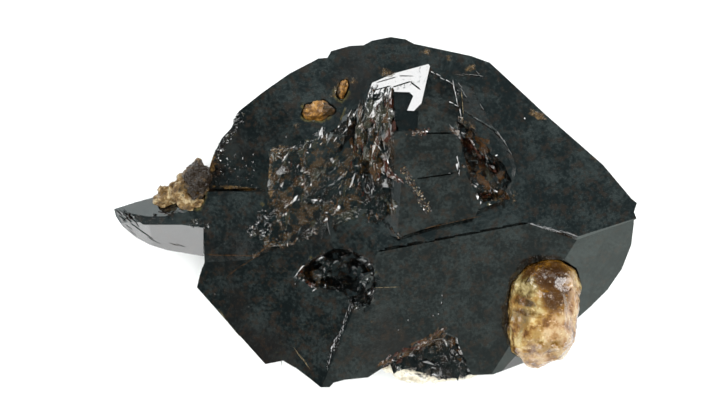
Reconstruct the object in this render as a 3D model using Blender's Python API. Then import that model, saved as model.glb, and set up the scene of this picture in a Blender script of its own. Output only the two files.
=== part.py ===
"""Titanite crystals with a fluorapatite crystal, lying on the flat cut at their back.

The front of the group looks up (+Z).  Lengths are in millimetres until a piece is
finished, and finish() turns them into metres.
"""
import random
from math import cos, radians, sin

import bmesh
import bpy
from mathutils import Euler, Matrix, Vector, noise

MM = 0.001
GAP = 0.3                 # clearance left round every grain seated in the titanite
MERGE = 0.0005            # points closer than this are one point
FLAT = 0.1                # faces within this many degrees of each other are one face
BURIED = 11.0             # foot of what grows on the large crystal, well inside it
NOISE_SEED = 3
TALL = 45.0               # higher than anything in the group, for prisms that are cut later


noise.seed_set(NOISE_SEED)


class Slope:
    """A flat face: one point on it, and how much it rises along X and along Y."""

    def __init__(self, x, y, z, rise_x, rise_y):
        self.point = Vector((x, y, z))
        self.rise = (rise_x, rise_y)
        self.normal = Vector((-rise_x, -rise_y, 1.0)).normalized()

    def height(self, x, y):
        return self.point.z + self.rise[0] * (x - self.point.x) + self.rise[1] * (y - self.point.y)

    def lifted(self, by):
        return Slope(self.point.x, self.point.y, self.point.z + by, *self.rise)


# The four corners of the broken ridge, from the left to the right tip.
RIDGE = [(0.5, -5.3), (20.5, -1.5), (26.8, -3.3), (34.8, -0.8)]
RIDGE_HEIGHT = 20.0

# Faces of the large crystal.
UPPER = Slope(0.5, -5.3, RIDGE_HEIGHT, -0.08, -0.20)
UPPER_LEFT = Slope(-13.6, 8.0, 18.4, 0.30, -0.16)
LOWER = Slope(0.5, -5.3, RIDGE_HEIGHT, -0.18, 0.33)
LOWER_LEFT = Slope(0.5, -5.3, RIDGE_HEIGHT, 0.374, 0.10)
LOWER_RIGHT = Slope(26.8, -3.5, 15.9, -0.34, 0.43)
CORNER = Slope(18.6, -19.0, 12.2, -0.69, 0.74)

# Outline of the large crystal, from the left end of the ridge side round the top.
OUTLINE = [
    (-22.6, -2.7), (-22.3, 2.9), (-22.1, 5.6), (-21.4, 7.6), (-20.3, 9.8), (-19.0, 11.2),
    (-18.0, 13.4), (-14.9, 15.8), (-11.2, 18.4), (-7.4, 20.4), (-6.2, 20.5), (-5.7, 21.4),
    (-3.2, 22.1), (-1.4, 22.2), (-0.3, 22.8), (2.2, 23.3), (4.2, 23.0), (5.3, 22.4),
    (12.9, 20.8), (15.4, 19.9), (16.5, 18.9), (22.9, 12.9), (30.4, 6.3), (34.5, 1.4),
    (34.6, -1.4), (34.3, -4.4), (33.1, -7.6), (31.2, -10.4), (29.0, -12.6), (27.2, -14.2), (24.4, -17.2),
    (20.9, -19.9), (18.1, -20.9), (15.9, -21.7), (9.0, -21.9), (3.5, -20.3), (1.5, -20.5),
    (-0.8, -22.0), (-3.9, -22.3), (-5.4, -22.7), (-5.9, -23.3), (-7.1, -23.3), (-8.6, -22.1),
    (-10.2, -20.9), (-12.1, -19.8), (-14.5, -20.3), (-19.4, -14.9), (-23.7, -10.1),
    (-23.3, -8.4), (-22.6, -6.6),
]
EDGE_THICKNESS = 1.8      # height of the thin rim between the front and the back faces
# Faces of the back: the way each looks, from +X towards +Y, and its slope, in degrees.
BACK_FACES = [(8, 52), (47, 58), (88, 56), (128, 55), (162, 50), (214, 47), (262, 52), (312, 50)]


def front_height(x, y):
    """Height of the large crystal's front, before anything grows on it."""
    faces = (UPPER, UPPER_LEFT, LOWER, LOWER_LEFT, LOWER_RIGHT)
    return min(face.height(x, y) for face in faces)


# ---------------------------------------------------------------- modelling helpers

def stack(rings):
    """Closed solid through rings of equal length, the lowest first."""
    solid = bmesh.new()
    loops = [[solid.verts.new(point) for point in ring] for ring in rings]
    count = len(loops[0])
    for lower, upper in zip(loops, loops[1:]):
        for i in range(count):
            j = (i + 1) % count
            solid.faces.new((lower[i], lower[j], upper[j], upper[i]))
    solid.faces.new(list(reversed(loops[0])))
    solid.faces.new(loops[-1])
    bmesh.ops.recalc_face_normals(solid, faces=solid.faces)
    return solid


def prism(outline, low, high=TALL):
    """Upright prism over an outline."""
    return stack([[(x, y, low) for x, y in outline], [(x, y, high) for x, y in outline]])


def slice_off(solid, point, normal):
    """Cut the solid with a plane, drop the side the normal points to, and close the cut."""
    bmesh.ops.bisect_plane(
        solid, geom=solid.verts[:] + solid.edges[:] + solid.faces[:], dist=1e-5,
        plane_co=point, plane_no=normal, clear_outer=True)
    bmesh.ops.holes_fill(solid, edges=solid.edges, sides=0)


def cut_above(solid, *slopes):
    for slope in slopes:
        slice_off(solid, slope.point, slope.normal)
    return solid


def cut_below(solid, *slopes):
    for slope in slopes:
        slice_off(solid, slope.point, -slope.normal)
    return solid


def bevel_top_edge(solid, start, end, z_start, z_end, lean):
    """Cut a leaning face that runs through two points of an edge; lean is in degrees."""
    along = Vector((end[0] - start[0], end[1] - start[1], z_end - z_start)).normalized()
    outward = Vector((along.y, -along.x, 0.0)).normalized()
    normal = outward * cos(radians(lean)) + Vector((0, 0, 1)) * sin(radians(lean))
    normal = (normal - along * normal.dot(along)).normalized()
    slice_off(solid, Vector((start[0], start[1], z_start)), normal)


def grid_cuts(solid, spacing, axes="XY"):
    """Cross-cut the faces with planes at even steps, so that they can be made uneven."""
    for axis in axes:
        normal = Vector((axis == "X", axis == "Y", axis == "Z"))
        values = [vert.co.dot(normal) for vert in solid.verts]
        step = min(values) + spacing
        while step < max(values) - spacing / 2:
            bmesh.ops.bisect_plane(
                solid, geom=solid.verts[:] + solid.edges[:] + solid.faces[:], dist=1e-4,
                plane_co=normal * step, plane_no=normal)
            step += spacing


def roughen(solid, amount, size, seed, floor=None):
    """Move the vertices by noise; those below the floor height stay."""
    shift = Vector((seed * 7.3, seed * 3.1, seed * 5.7))
    for vert in solid.verts:
        if floor is None or vert.co.z > floor:
            vert.co += noise.noise_vector(vert.co / size + shift) * amount


def as_object(solid, name):
    mesh = bpy.data.meshes.new(name)
    triangles = solid.copy()
    bmesh.ops.triangulate(triangles, faces=triangles.faces)
    triangles.to_mesh(mesh)
    triangles.free()
    item = bpy.data.objects.new(name, mesh)
    bpy.context.collection.objects.link(item)
    return item


def tidy(solid):
    """Merge coincident points, and faces that lie in one plane."""
    bmesh.ops.remove_doubles(solid, verts=solid.verts, dist=MERGE)
    bmesh.ops.dissolve_degenerate(solid, edges=solid.edges, dist=MERGE)
    bmesh.ops.dissolve_limit(solid, angle_limit=radians(FLAT), verts=solid.verts,
                             edges=solid.edges, use_dissolve_boundaries=False)


def boolean(solid, others, operation):
    """Union or difference of one solid and several, in one step of the exact solver."""
    base = as_object(solid, "base")
    tools = bpy.data.collections.new("tools")
    bpy.context.scene.collection.children.link(tools)
    for other in others:
        tool = as_object(other, "tool")
        bpy.context.collection.objects.unlink(tool)
        tools.objects.link(tool)
    modifier = base.modifiers.new("boolean", "BOOLEAN")
    modifier.operation = operation
    modifier.solver = "EXACT"
    modifier.operand_type = "COLLECTION"
    modifier.collection = tools
    evaluated = base.evaluated_get(bpy.context.evaluated_depsgraph_get())
    result = bmesh.new()
    result.from_mesh(evaluated.to_mesh())
    evaluated.to_mesh_clear()
    tidy(result)
    for item in [base, *tools.objects]:
        mesh = item.data
        bpy.data.objects.remove(item)
        bpy.data.meshes.remove(mesh)
    bpy.data.collections.remove(tools)
    return result


def join(solid, *others):
    return boolean(solid, others, "UNION") if others else solid


def carve(solid, *cutters):
    return boolean(solid, cutters, "DIFFERENCE")


def seat_cutter(grain):
    """Copy of a rounded grain, stretched from its middle so that it clears the grain by GAP."""
    grown = grain.copy()
    for axis in range(3):
        values = [vert.co[axis] for vert in grown.verts]
        middle = (min(values) + max(values)) / 2
        half = (max(values) - min(values)) / 2
        for vert in grown.verts:
            vert.co[axis] = middle + (vert.co[axis] - middle) * (half + GAP) / half
    return grown


# ---------------------------------------------------------------- the titanite crystals

def large_crystal():
    """Envelope-shaped crystal: flat cut below, back faces spreading to a thin rim."""
    body = prism(OUTLINE, 0.0)
    for azimuth, steepness in BACK_FACES:
        way = Vector((cos(radians(azimuth)), sin(radians(azimuth)), 0.0))
        x, y = max(OUTLINE, key=lambda spot: way.x * spot[0] + way.y * spot[1])
        rim = Vector((x, y, front_height(x, y) - EDGE_THICKNESS))
        tilt = radians(steepness)
        slice_off(body, rim, way * sin(tilt) - Vector((0, 0, 1)) * cos(tilt))
    cut_above(body, LOWER, LOWER_LEFT, LOWER_RIGHT)
    body = join(body, ridge_slab())
    return cut_above(body, UPPER, UPPER_LEFT)


SLAB_FOOT = 14.0
SLAB_LIP = 0.4            # how far the slab's leaning edge reaches out over the faces below
SLAB_LEAN = 52            # lean of that edge, in degrees


def ridge_slab():
    """Upper growth layer that makes the right half of the ridge, up to the right tip."""
    _, (x2, y2), (x3, y3), (x4, y4) = RIDGE
    slab = prism([(x2, y2), (x3, y3 - SLAB_LIP), (x4, y4 - SLAB_LIP / 3), (x4, y4), (34.5, 0.0),
                  (34.9, 1.2), (32.0, 3.5), (x2, 6.0)], SLAB_FOOT)
    for start, end in zip(RIDGE[1:], RIDGE[2:]):
        bevel_top_edge(slab, start, end, UPPER.height(*start), UPPER.height(*end), SLAB_LEAN)
    return slab


# Faces of the blade-shaped crystal at the left.
BLADE_TOP = Slope(-22.9, -2.4, 14.5, 0.25, 0.06)
BLADE_FRONT = Slope(-28.7, -1.3, 13.1, 0.333, 0.65)
BLADE_TIP = Slope(-32.8, 0.0, 12.2, 0.49, 0.68)
BLADE_BACK = Slope(-27.7, -0.5, 13.4, 0.56, -0.75)
BLADE_BELOW = Slope(-22.0, 0.0, 4.0, -0.32, 0.0)
BLADE_OUTLINE = [
    (-34.9, 0.4), (-34.6, -0.6), (-33.6, -2.0), (-31.9, -3.4), (-30.0, -4.4), (-27.7, -5.1),
    (-25.3, -5.5), (-22.8, -5.9), (-22.7, -2.0), (-13.0, 0.0), (-15.9, 2.4),
    (-21.5, 2.6), (-26.0, 2.2), (-29.7, 1.9), (-32.0, 1.3), (-33.3, 0.9),
]
# The blade's foot inside the group, with a gentler front.
SHOULDER_FRONT = Slope(-22.6, -2.7, 14.7, 0.315, 0.40)
SHOULDER_STEP = 0.12
SHOULDER_OUTLINE = [(-22.7, -2.5), (-22.6, -6.7), (-19.5, -6.6), (-16.6, -6.3), (-14.0, -5.2),
                    (-12.0, -2.0), (-12.0, 2.7), (-22.4, 2.7)]


def blade_crystal():
    """Thin blade that reaches out to the left and tapers below."""
    blade = prism(BLADE_OUTLINE, 2.0)
    cut_above(blade, BLADE_TOP, BLADE_FRONT, BLADE_TIP, BLADE_BACK)
    return cut_below(blade, BLADE_BELOW)


def shoulder():
    foot = prism(SHOULDER_OUTLINE, 4.0)
    return cut_above(foot, BLADE_TOP.lifted(SHOULDER_STEP), SHOULDER_FRONT)


# The stepped crystal that stands on the upper face: each step's top is parallel to LOWER.
STEP = 0.45
FIRST_STEP = Slope(3.5, -3.5, 20.1, -0.16, 0.33)
SECOND_STEP = FIRST_STEP.lifted(STEP)
THIRD_STEP = FIRST_STEP.lifted(2 * STEP)
CREST = Slope(6.2, 14.4, 26.4, 0.55, -0.35)
CREST_RIGHT = Slope(6.2, 14.4, 26.4, -0.34, -0.145)
FIRST_FLANK = Slope(3.4, 0.0, 21.4, 0.90, 0.25)
SECOND_FLANK = Slope(2.6, 8.0, 24.5, 1.60, 0.30)
SHELL_RISE = 1.9
SHELL_TOP = UPPER.lifted(SHELL_RISE)
SHELL_ROUNDING = 0.35     # how far below its top the layer's rounded edge ends
SHELL_LEAN = 52           # lean of that edge, in degrees
# Crease where the layer's top turns down into a small sloping face, and that face's slope.
SHELL_CREASE = ((11.9, 13.5), (16.0, 10.9))
CREASE_LEAN = 50


def stepped_crystal():
    first = prism([(0.6, -2.6), (3.5, -3.5), (7.5, -2.1), (13.3, -0.7), (14.0, 0.9), (12.8, 3.6),
                   (11.3, 6.6), (0.2, 6.0), (0.2, 2.4)], BURIED)
    cut_above(first, FIRST_STEP, FIRST_FLANK)
    second = prism([(0.2, 4.6), (2.2, 4.3), (5.7, 4.5), (10.9, 5.2), (11.6, 8.3), (10.9, 10.4),
                    (10.4, 12.0), (0.4, 12.0)], BURIED)
    cut_above(second, SECOND_STEP, SECOND_FLANK)
    third = prism([(5.9, 10.4), (10.8, 10.5), (11.6, 12.0), (11.7, 14.6), (10.9, 16.4), (7.7, 18.5),
                   (7.1, 19.4), (2.5, 18.2), (-0.3, 17.0), (-1.2, 14.2), (-1.0, 12.5), (4.0, 12.0)],
                  BURIED)
    cut_above(third, THIRD_STEP, CREST, CREST_RIGHT)
    return join(first, second, third, shell_layer())


def shell_layer():
    """Smooth curved layer on the right of the steps, with a glossy rounded outer edge."""
    outer = [(16.0, 10.9), (17.3, 9.3), (18.3, 7.5), (18.8, 5.8), (18.6, 4.7), (17.9, 2.7),
             (16.8, 1.5), (13.9, 0.4)]
    inner = [(10.0, 4.0), (9.0, 12.0), (7.4, 18.0), (11.7, 16.9), (13.1, 16.5), (13.9, 14.9),
             (15.0, 12.5)]
    layer = prism(outer + inner, BURIED)
    cut_above(layer, SHELL_TOP)
    start, end = SHELL_CREASE
    bevel_top_edge(layer, end, start, SHELL_TOP.height(*end), SHELL_TOP.height(*start), CREASE_LEAN)
    glossy = outer[:-2]
    for start, end in zip(glossy, glossy[1:]):
        bevel_top_edge(layer, end, start, SHELL_TOP.height(*end) - SHELL_ROUNDING,
                       SHELL_TOP.height(*start) - SHELL_ROUNDING, SHELL_LEAN)
    return layer


# The broken, splintery block between the blade and the steps.
BLOCK_OUTLINE = [
    (-13.7, 8.0), (-14.0, 3.0), (-13.8, -0.4), (-15.0, -3.9), (-12.0, -4.0), (-9.9, -3.1),
    (-4.6, -0.9), (-0.9, 0.8), (0.6, 3.0), (0.2, 11.0), (-0.2, 15.0), (-2.4, 14.0),
    (-4.0, 11.6), (-9.4, 8.6),
]
BLOCK_TOP = Slope(-13.6, 8.0, 18.9, 0.146, 0.147)
BLOCK_RISE = 1.4          # the most that the block stands above the upper face
BLOCK_GRAIN = 1.3
LEDGE = [(-14.9, -4.7), (-9.9, -3.9), (-0.9, 0.0), (-0.6, 1.4), (-13.8, -2.0)]
LEDGE_FACE = Slope(-9.9, -3.75, 16.3, -0.24, 1.33)


def block_ledge():
    """Smooth sloping face along the foot of the broken block."""
    ledge = prism(LEDGE, BURIED)
    return cut_above(ledge, LEDGE_FACE, BLOCK_TOP)


def broken_block():
    block = prism(BLOCK_OUTLINE, BURIED)
    cut_above(block, BLOCK_TOP, UPPER.lifted(BLOCK_RISE))
    grid_cuts(block, BLOCK_GRAIN)
    roughen(block, 0.55, 1.1, 2.0, floor=15.0)
    roughen(block, 0.55, 3.2, 5.0, floor=15.0)
    return block


SPLINTER_LINE = [(-0.6, 11.6, 21.8), (0.9, 12.6, 22.8), (2.2, 12.8, 23.4), (1.4, 9.6, 22.6),
                 (0.2, 8.0, 21.8), (1.2, 5.6, 21.6), (0.4, 3.0, 21.0), (0.6, 0.8, 20.6)]
SPLINTERS_EACH = 3


def shard(place, length, wide, narrow, tilt, roll, turn, sides=4):
    """Tapered splinter lying along Y; tilt lifts its thin end, and angles are in degrees."""
    splinter = bmesh.new()
    bmesh.ops.create_cone(splinter, cap_ends=True, segments=sides, radius1=wide,
                          radius2=narrow, depth=length)
    angles = Euler((radians(90 + tilt), radians(roll), radians(turn)))
    splinter.transform(Matrix.Translation(Vector(place)) @ angles.to_matrix().to_4x4())
    return splinter


def splinters():
    """Shards along the broken side of the steps, all leaning a little differently."""
    draw = random.Random(11)
    shards = [shard((-3.9, 11.1, 19.6), 4.6, 1.6, 0.4, -12, 20, -37)]
    for x, y, z in SPLINTER_LINE:
        for _ in range(SPLINTERS_EACH):
            place = (x + draw.uniform(-0.9, 0.9), y + draw.uniform(-1.0, 1.0),
                     z - draw.uniform(0.7, 1.7))
            shards.append(shard(
                place, draw.uniform(3.5, 5.5), draw.uniform(0.9, 1.5), draw.uniform(0.3, 0.7),
                draw.uniform(-18, 18), draw.uniform(0, 90), draw.uniform(-18, 12),
                draw.choice((4, 5))))
    return shards


# ---------------------------------------------------------------- hollows in the titanite

PIT = [(-9.9, -8.1), (-8.3, -6.6), (-5.3, -4.9), (-2.9, -5.1), (-0.4, -6.5), (0.4, -9.7),
       (-0.6, -12.4), (-2.6, -12.7), (-4.0, -10.6), (-7.2, -9.9), (-8.9, -9.5)]
PIT_DEPTH = 3.2
PIT_FRAGMENTS = [(-7.6, -8.1, 1.6), (-5.0, -6.6, 1.8), (-3.6, -8.6, 1.5), (-1.3, -8.4, 1.7)]


def pit_cutter():
    """Irregular hollow beside the left end of the ridge, narrower below."""
    middle = Vector((sum(x for x, _ in PIT), sum(y for _, y in PIT))) / len(PIT)
    rings = []
    for share, depth in ((0.62, PIT_DEPTH), (0.86, 0.55 * PIT_DEPTH), (1.0, 0.0), (1.04, -4.0)):
        ring = []
        for x, y in PIT:
            spot = middle + (Vector((x, y)) - middle) * share
            ring.append((spot.x, spot.y, front_height(x, y) - depth))
        rings.append(ring)
    cutter = stack(rings)
    roughen(cutter, 0.35, 1.7, 9.0)
    return cutter


def pit_fragments():
    """Blocky remains that stand in the hollow, a little below its rim."""
    draw = random.Random(5)
    fragments = []
    for x, y, size in PIT_FRAGMENTS:
        block = bmesh.new()
        bmesh.ops.create_cube(block, size=size)
        turn = Euler([radians(draw.uniform(-35, 35)) for _ in range(3)])
        place = Vector((x, y, front_height(x, y) - PIT_DEPTH + 0.45 * size))
        stretch = Matrix.Diagonal((1.25, 0.8, 2.2, 1.0))
        block.transform(Matrix.Translation(place) @ turn.to_matrix().to_4x4() @ stretch)
        fragments.append(block)
    return fragments


NOTCH = [(9.1, -15.6), (6.8, -17.4), (4.8, -18.5), (1.3, -20.1), (1.0, -24.5), (14.5, -24.5),
         (12.9, -21.6), (11.0, -17.0)]
NOTCH_FLOOR = Slope(9.1, -15.6, 14.0, 0.12, 0.85)
CORNER_PATCH = [(19.6, -18.0), (15.6, -22.8), (22.0, -22.8), (22.0, -19.0)]


def corner_cutter():
    """Small steep face at the lower right, beside the apatite."""
    return cut_below(prism(CORNER_PATCH, 0.0, 30.0), CORNER)


def notch_cutter():
    """Broken bay in the lower edge; its floor falls away towards the rim."""
    cutter = prism(NOTCH, 0.0, 30.0)
    cut_below(cutter, NOTCH_FLOOR)
    grid_cuts(cutter, 1.4)
    for vert in cutter.verts:
        if vert.co.z < 20.0:
            vert.co += noise.noise_vector(vert.co / 1.3 + Vector((4.0, 1.0, 7.0))) * 0.5
    return cutter


CAVITY = [(10.9, 12.1), (12.8, 11.0), (14.9, 8.6), (17.2, 6.2), (18.0, 4.2), (16.9, 1.9),
          (14.3, 1.3), (13.4, 2.9), (12.4, 5.2), (11.9, 8.2), (11.3, 10.2)]
CAVITY_FLOOR = Slope(14.0, 5.0, 17.4, -0.10, -0.10)


def cavity_cutter():
    """Deep broken slot between the steps and the smooth layer on their right."""
    cutter = prism(CAVITY, 8.0, 30.0)
    cut_below(cutter, CAVITY_FLOOR)
    grid_cuts(cutter, 1.3)
    for vert in cutter.verts:
        vert.co += noise.noise_vector(vert.co / 1.5 + Vector((2.0, 8.0, 1.0))) * 0.4
    return cutter


CREST_HOLE = [(2.6, 15.8), (4.6, 15.7), (5.1, 15.2), (4.3, 13.3), (5.8, 13.2), (5.6, 10.7),
              (2.2, 10.5), (2.0, 13.0)]


def crest_hole_cutter():
    """Dark hole under the bright crest, left of the third step."""
    return prism(CREST_HOLE, 20.0, 30.0)


# ---------------------------------------------------------------- the grains on the titanite

APATITE_OUTLINE = [
    (22.9, -6.3), (20.3, -7.1), (18.3, -9.5), (18.0, -12.0), (18.0, -15.4), (18.4, -18.6),
    (20.4, -20.2), (21.8, -20.9), (22.9, -20.2), (25.1, -19.4), (26.3, -17.9), (26.9, -14.8),
    (27.3, -11.8), (27.4, -9.9), (26.8, -7.6), (24.9, -6.5),
]
APATITE_MIDDLE = (22.7, -13.4)
APATITE_LAYERS = [(0.45, 8.2), (0.80, 9.4), (0.96, 11.6), (1.0, 14.2), (0.95, 16.8), (0.80, 18.6),
                  (0.50, 19.7)]


def apatite_crystal():
    """Stout six-sided prism lying along Y, its edges rounded by corrosion."""
    mx, my = APATITE_MIDDLE
    rings = [[(mx + share * (x - mx), my + share * (y - my), z) for x, y in APATITE_OUTLINE]
             for share, z in APATITE_LAYERS]
    crystal = stack(rings)
    slice_off(crystal, Vector((25.4, -13.0, 18.6)), Vector((0.80, 0.05, 0.60)))
    slice_off(crystal, Vector((20.4, -13.0, 18.9)), Vector((-0.72, 0.05, 0.70)))
    slice_off(crystal, Vector((22.9, -13.0, 19.3)), Vector((0.05, 0.04, 1.0)))
    slice_off(crystal, Vector((23.0, -19.2, 17.0)), Vector((0.0, -0.70, 0.70)))
    grid_cuts(crystal, 1.6, "XYZ")
    roughen(crystal, 0.28, 2.4, 3.0)
    bmesh.ops.smooth_vert(crystal, verts=crystal.verts, factor=0.5, use_axis_x=True,
                          use_axis_y=True, use_axis_z=True)
    return crystal


def lump(centre, radii, turn, seed, detail=3, amount=0.35):
    """Rounded, uneven grain; radii are its half sizes and turn is about Z in degrees."""
    grain = bmesh.new()
    bmesh.ops.create_icosphere(grain, subdivisions=detail, radius=1.0)
    for vert in grain.verts:
        vert.co *= 1.0 + amount * noise.noise(vert.co * 1.6 + Vector((seed, seed, seed)))
    place = Matrix.Translation(Vector(centre)) @ Matrix.Rotation(radians(turn), 4, "Z")
    grain.transform(place @ Matrix.Diagonal((*radii, 1.0)))
    return grain


def calcite_remnant():
    return lump((8.3, -20.3, 6.4), (6.6, 2.6, 3.0), 0, 3.0)


def brown_lump():
    """Granular lump on the back edge of the blade, made of a few fused grains."""
    parts = [((-23.6, 4.2, 14.2), (1.7, 2.2, 1.9), 0), ((-25.6, 3.0, 13.4), (1.4, 1.9, 1.8), -20),
             ((-27.6, 2.0, 12.4), (1.7, 1.1, 1.3), 25), ((-24.6, 1.6, 14.0), (1.7, 1.0, 1.1), 0)]
    return [lump(centre, radii, turn, 2.0 + i)
            for i, (centre, radii, turn) in enumerate(parts)]


def orange_grain():
    return lump((-7.5, 13.4, UPPER.height(-7.5, 13.4)), (2.1, 1.25, 0.9), 14, 4.0)


def small_orange_grain():
    return lump((-4.2, 16.3, UPPER.height(-4.2, 16.3)), (0.6, 1.35, 0.6), -14, 6.0, detail=2)


# ---------------------------------------------------------------- finished pieces

def material(name, colour, roughness):
    made = bpy.data.materials.new(name)
    made.use_nodes = True
    shader = made.node_tree.nodes["Principled BSDF"]
    shader.inputs["Base Color"].default_value = (*colour, 1.0)
    shader.inputs["Roughness"].default_value = roughness
    shader.inputs["Metallic"].default_value = 0.0
    return made


def finish(solid, name, surface):
    """Turn a solid into a named object in metres."""
    solid.transform(Matrix.Scale(MM, 4))
    item = as_object(solid, name)
    item.data.materials.append(surface)
    return item


def main():
    for item in list(bpy.data.objects):
        bpy.data.objects.remove(item)
    grains = {
        "fluorapatite": ([apatite_crystal()], (0.45, 0.26, 0.12), 0.25),
        "calcite": ([calcite_remnant()], (0.80, 0.74, 0.60), 0.60),
        "brown_lump": (brown_lump(), (0.30, 0.20, 0.09), 0.70),
        "orange_grain": ([orange_grain()], (0.62, 0.33, 0.10), 0.50),
        "small_orange_grain": ([small_orange_grain()], (0.45, 0.26, 0.10), 0.50),
    }
    titanite = join(large_crystal(), shoulder(), blade_crystal(), broken_block(), block_ledge(),
                    stepped_crystal(), *splinters())
    titanite = carve(titanite, pit_cutter(), notch_cutter(), corner_cutter(), cavity_cutter(),
                     crest_hole_cutter())
    titanite = join(titanite, *pit_fragments())
    seats = [seat_cutter(part) for parts, _, _ in grains.values() for part in parts]
    titanite = carve(titanite, *seats)
    finish(titanite, "titanite", material("titanite", (0.02, 0.02, 0.02), 0.12))
    for name, (parts, colour, roughness) in grains.items():
        finish(join(*parts), name, material(name, colour, roughness))


main()
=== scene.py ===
# %% [markdown]
# # A titanite group with a fluorapatite crystal
#
# The object is a loose mineral specimen, about seven centimetres wide.  Glossy, nearly black
# titanite crystals are grown together; a golden-brown apatite prism and a few small grains sit
# on them.  This notebook dresses the plain solids of the model: it breaks up their rough places,
# gives every mineral its finish, and lights the group.
#
# Lengths are in millimetres while a piece is being shaped, because a specimen is small.  The
# last step of each piece turns them into metres.

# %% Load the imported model
import random
from math import atan2, cos, degrees, hypot, pi, radians, sin

import bmesh
import bpy
import numpy as np
from mathutils import Matrix, Vector, kdtree, noise
from mathutils.bvhtree import BVHTree


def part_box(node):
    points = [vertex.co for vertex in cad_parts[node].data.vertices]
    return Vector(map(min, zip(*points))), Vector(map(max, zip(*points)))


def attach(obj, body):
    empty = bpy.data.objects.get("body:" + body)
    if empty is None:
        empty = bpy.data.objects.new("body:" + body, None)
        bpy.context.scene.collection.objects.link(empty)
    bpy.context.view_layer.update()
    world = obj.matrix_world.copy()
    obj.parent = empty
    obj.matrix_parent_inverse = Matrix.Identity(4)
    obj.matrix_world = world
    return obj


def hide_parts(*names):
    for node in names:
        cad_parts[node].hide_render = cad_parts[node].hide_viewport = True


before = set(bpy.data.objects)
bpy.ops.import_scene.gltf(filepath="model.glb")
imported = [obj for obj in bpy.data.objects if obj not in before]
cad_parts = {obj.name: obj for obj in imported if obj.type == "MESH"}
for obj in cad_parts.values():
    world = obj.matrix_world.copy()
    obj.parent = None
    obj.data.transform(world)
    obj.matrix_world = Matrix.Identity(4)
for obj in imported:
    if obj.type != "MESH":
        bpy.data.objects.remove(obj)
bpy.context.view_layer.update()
MM = 0.001
NOISE_SEED = 7
noise.seed_set(NOISE_SEED)
for name in sorted(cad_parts):
    low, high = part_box(name)
    print(name, [round(side / MM, 1) for side in high - low], "mm")

# %% [markdown]
# ## Camera
#
# The specimen lies on its flat cut and is looked at from straight above, as mineral portraits
# often are.  A short lens close by would make the tall crystals lean outwards, so a long one far
# away is used.  It is worked out from the width that the frame takes in at the middle height of
# the group.

# %% Camera
CAMERA_HEIGHT = 700.0
VIEW_WIDTH = 96.7         # what the frame takes in at the level below
VIEW_LEVEL = 10.0
VIEW_MIDDLE = (-1.74, 0.80)
SENSOR = 36.0
NEAREST = 0.05            # what the camera shows begins and ends here, in metres
FURTHEST = 20.0

camera = bpy.data.objects.new("camera", bpy.data.cameras.new("camera"))
bpy.context.scene.collection.objects.link(camera)
bpy.context.scene.camera = camera
camera.location = Vector((*VIEW_MIDDLE, CAMERA_HEIGHT)) * MM
camera.data.sensor_width = SENSOR
camera.data.lens = SENSOR * (CAMERA_HEIGHT - VIEW_LEVEL) / VIEW_WIDTH
camera.data.clip_start = NEAREST
camera.data.clip_end = FURTHEST
print("lens", round(camera.data.lens), "mm")

# %% [markdown]
# ## Writing shader maths as sums
#
# A finish is a graph of nodes.  Clicking one together is quick, but a long one is hard to read
# in code.  The class below holds one output socket, and its plus, minus and times signs add the
# Math nodes, so that a mask reads like a formula.  Every other node comes from one method,
# `add`, which takes the node's type, its settings, and what goes into its sockets.

# %% Wires between nodes
class Wire:
    """An output socket of a node tree."""

    def __init__(self, socket):
        self.socket = socket
        self.tree = socket.id_data

    @classmethod
    def add(cls, tree, kind, settings=None, sockets=None, out=0):
        node = tree.nodes.new(kind)
        for name, value in (settings or {}).items():
            if name == "stops":
                cls.set_stops(node.color_ramp, value)
            else:
                setattr(node, name, value)
        for name, value in (sockets or {}).items():
            if isinstance(value, Wire):
                tree.links.new(value.socket, node.inputs[name])
            else:
                node.inputs[name].default_value = value
        return cls(node.outputs[out])

    @staticmethod
    def set_stops(ramp, stops):
        """Stops are pairs of a position and a colour, from left to right."""
        while len(ramp.elements) < len(stops):
            ramp.elements.new(1.0)
        for element, (position, colour) in zip(ramp.elements, stops):
            element.position = position
            element.color = (*colour, 1.0)

    def math(self, operation, *others):
        sockets = dict(enumerate((self, *others)))
        return Wire.add(self.tree, "ShaderNodeMath", {"operation": operation}, sockets)

    def __add__(self, other):
        return self.math("ADD", other)

    def __mul__(self, other):
        return self.math("MULTIPLY", other)

    def __sub__(self, other):
        return self.math("SUBTRACT", other)

    def __rsub__(self, other):
        return (self * -1.0) + other

    __radd__ = __add__
    __rmul__ = __mul__

    def clip(self):
        return self.math("MAXIMUM", 0.0).math("MINIMUM", 1.0)

    def step(self, low, high):
        """Nought below low, one above high, and smooth in between."""
        return Wire.add(self.tree, "ShaderNodeMapRange", {"interpolation_type": "SMOOTHSTEP"},
                        {"Value": self, "From Min": low, "From Max": high})

    def vector(self, operation, other):
        """Vector maths; a dot product comes out as a number."""
        out = 1 if operation == "DOT_PRODUCT" else 0
        return Wire.add(self.tree, "ShaderNodeVectorMath", {"operation": operation},
                        {0: self, 1: other}, out)

    def ramp(self, *stops):
        return Wire.add(self.tree, "ShaderNodeValToRGB", {"stops": stops}, {"Fac": self})

    def tint(self, share, other, blend="MIX"):
        """This colour mixed with another one, which may be a plain colour."""
        settings = {"data_type": "RGBA", "blend_type": blend}
        other = other if isinstance(other, Wire) else (*other, 1.0)
        return Wire.add(self.tree, "ShaderNodeMix", settings,
                        {"Factor": share, 6: self, 7: other}, 2)


# %% [markdown]
# ## Light
#
# A dark glossy mineral shows little colour of its own: it shows the room.  So the room is built
# for its reflections.  The world is dim blue-grey.  A broad glow on the near side tones the
# lower faces, a weak one on the far side tones the upper faces, and a band along the horizon,
# palest on the far left, tones the steepest ones.  A room like this could be painted as a
# picture, but glows that follow a direction need no image.

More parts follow.
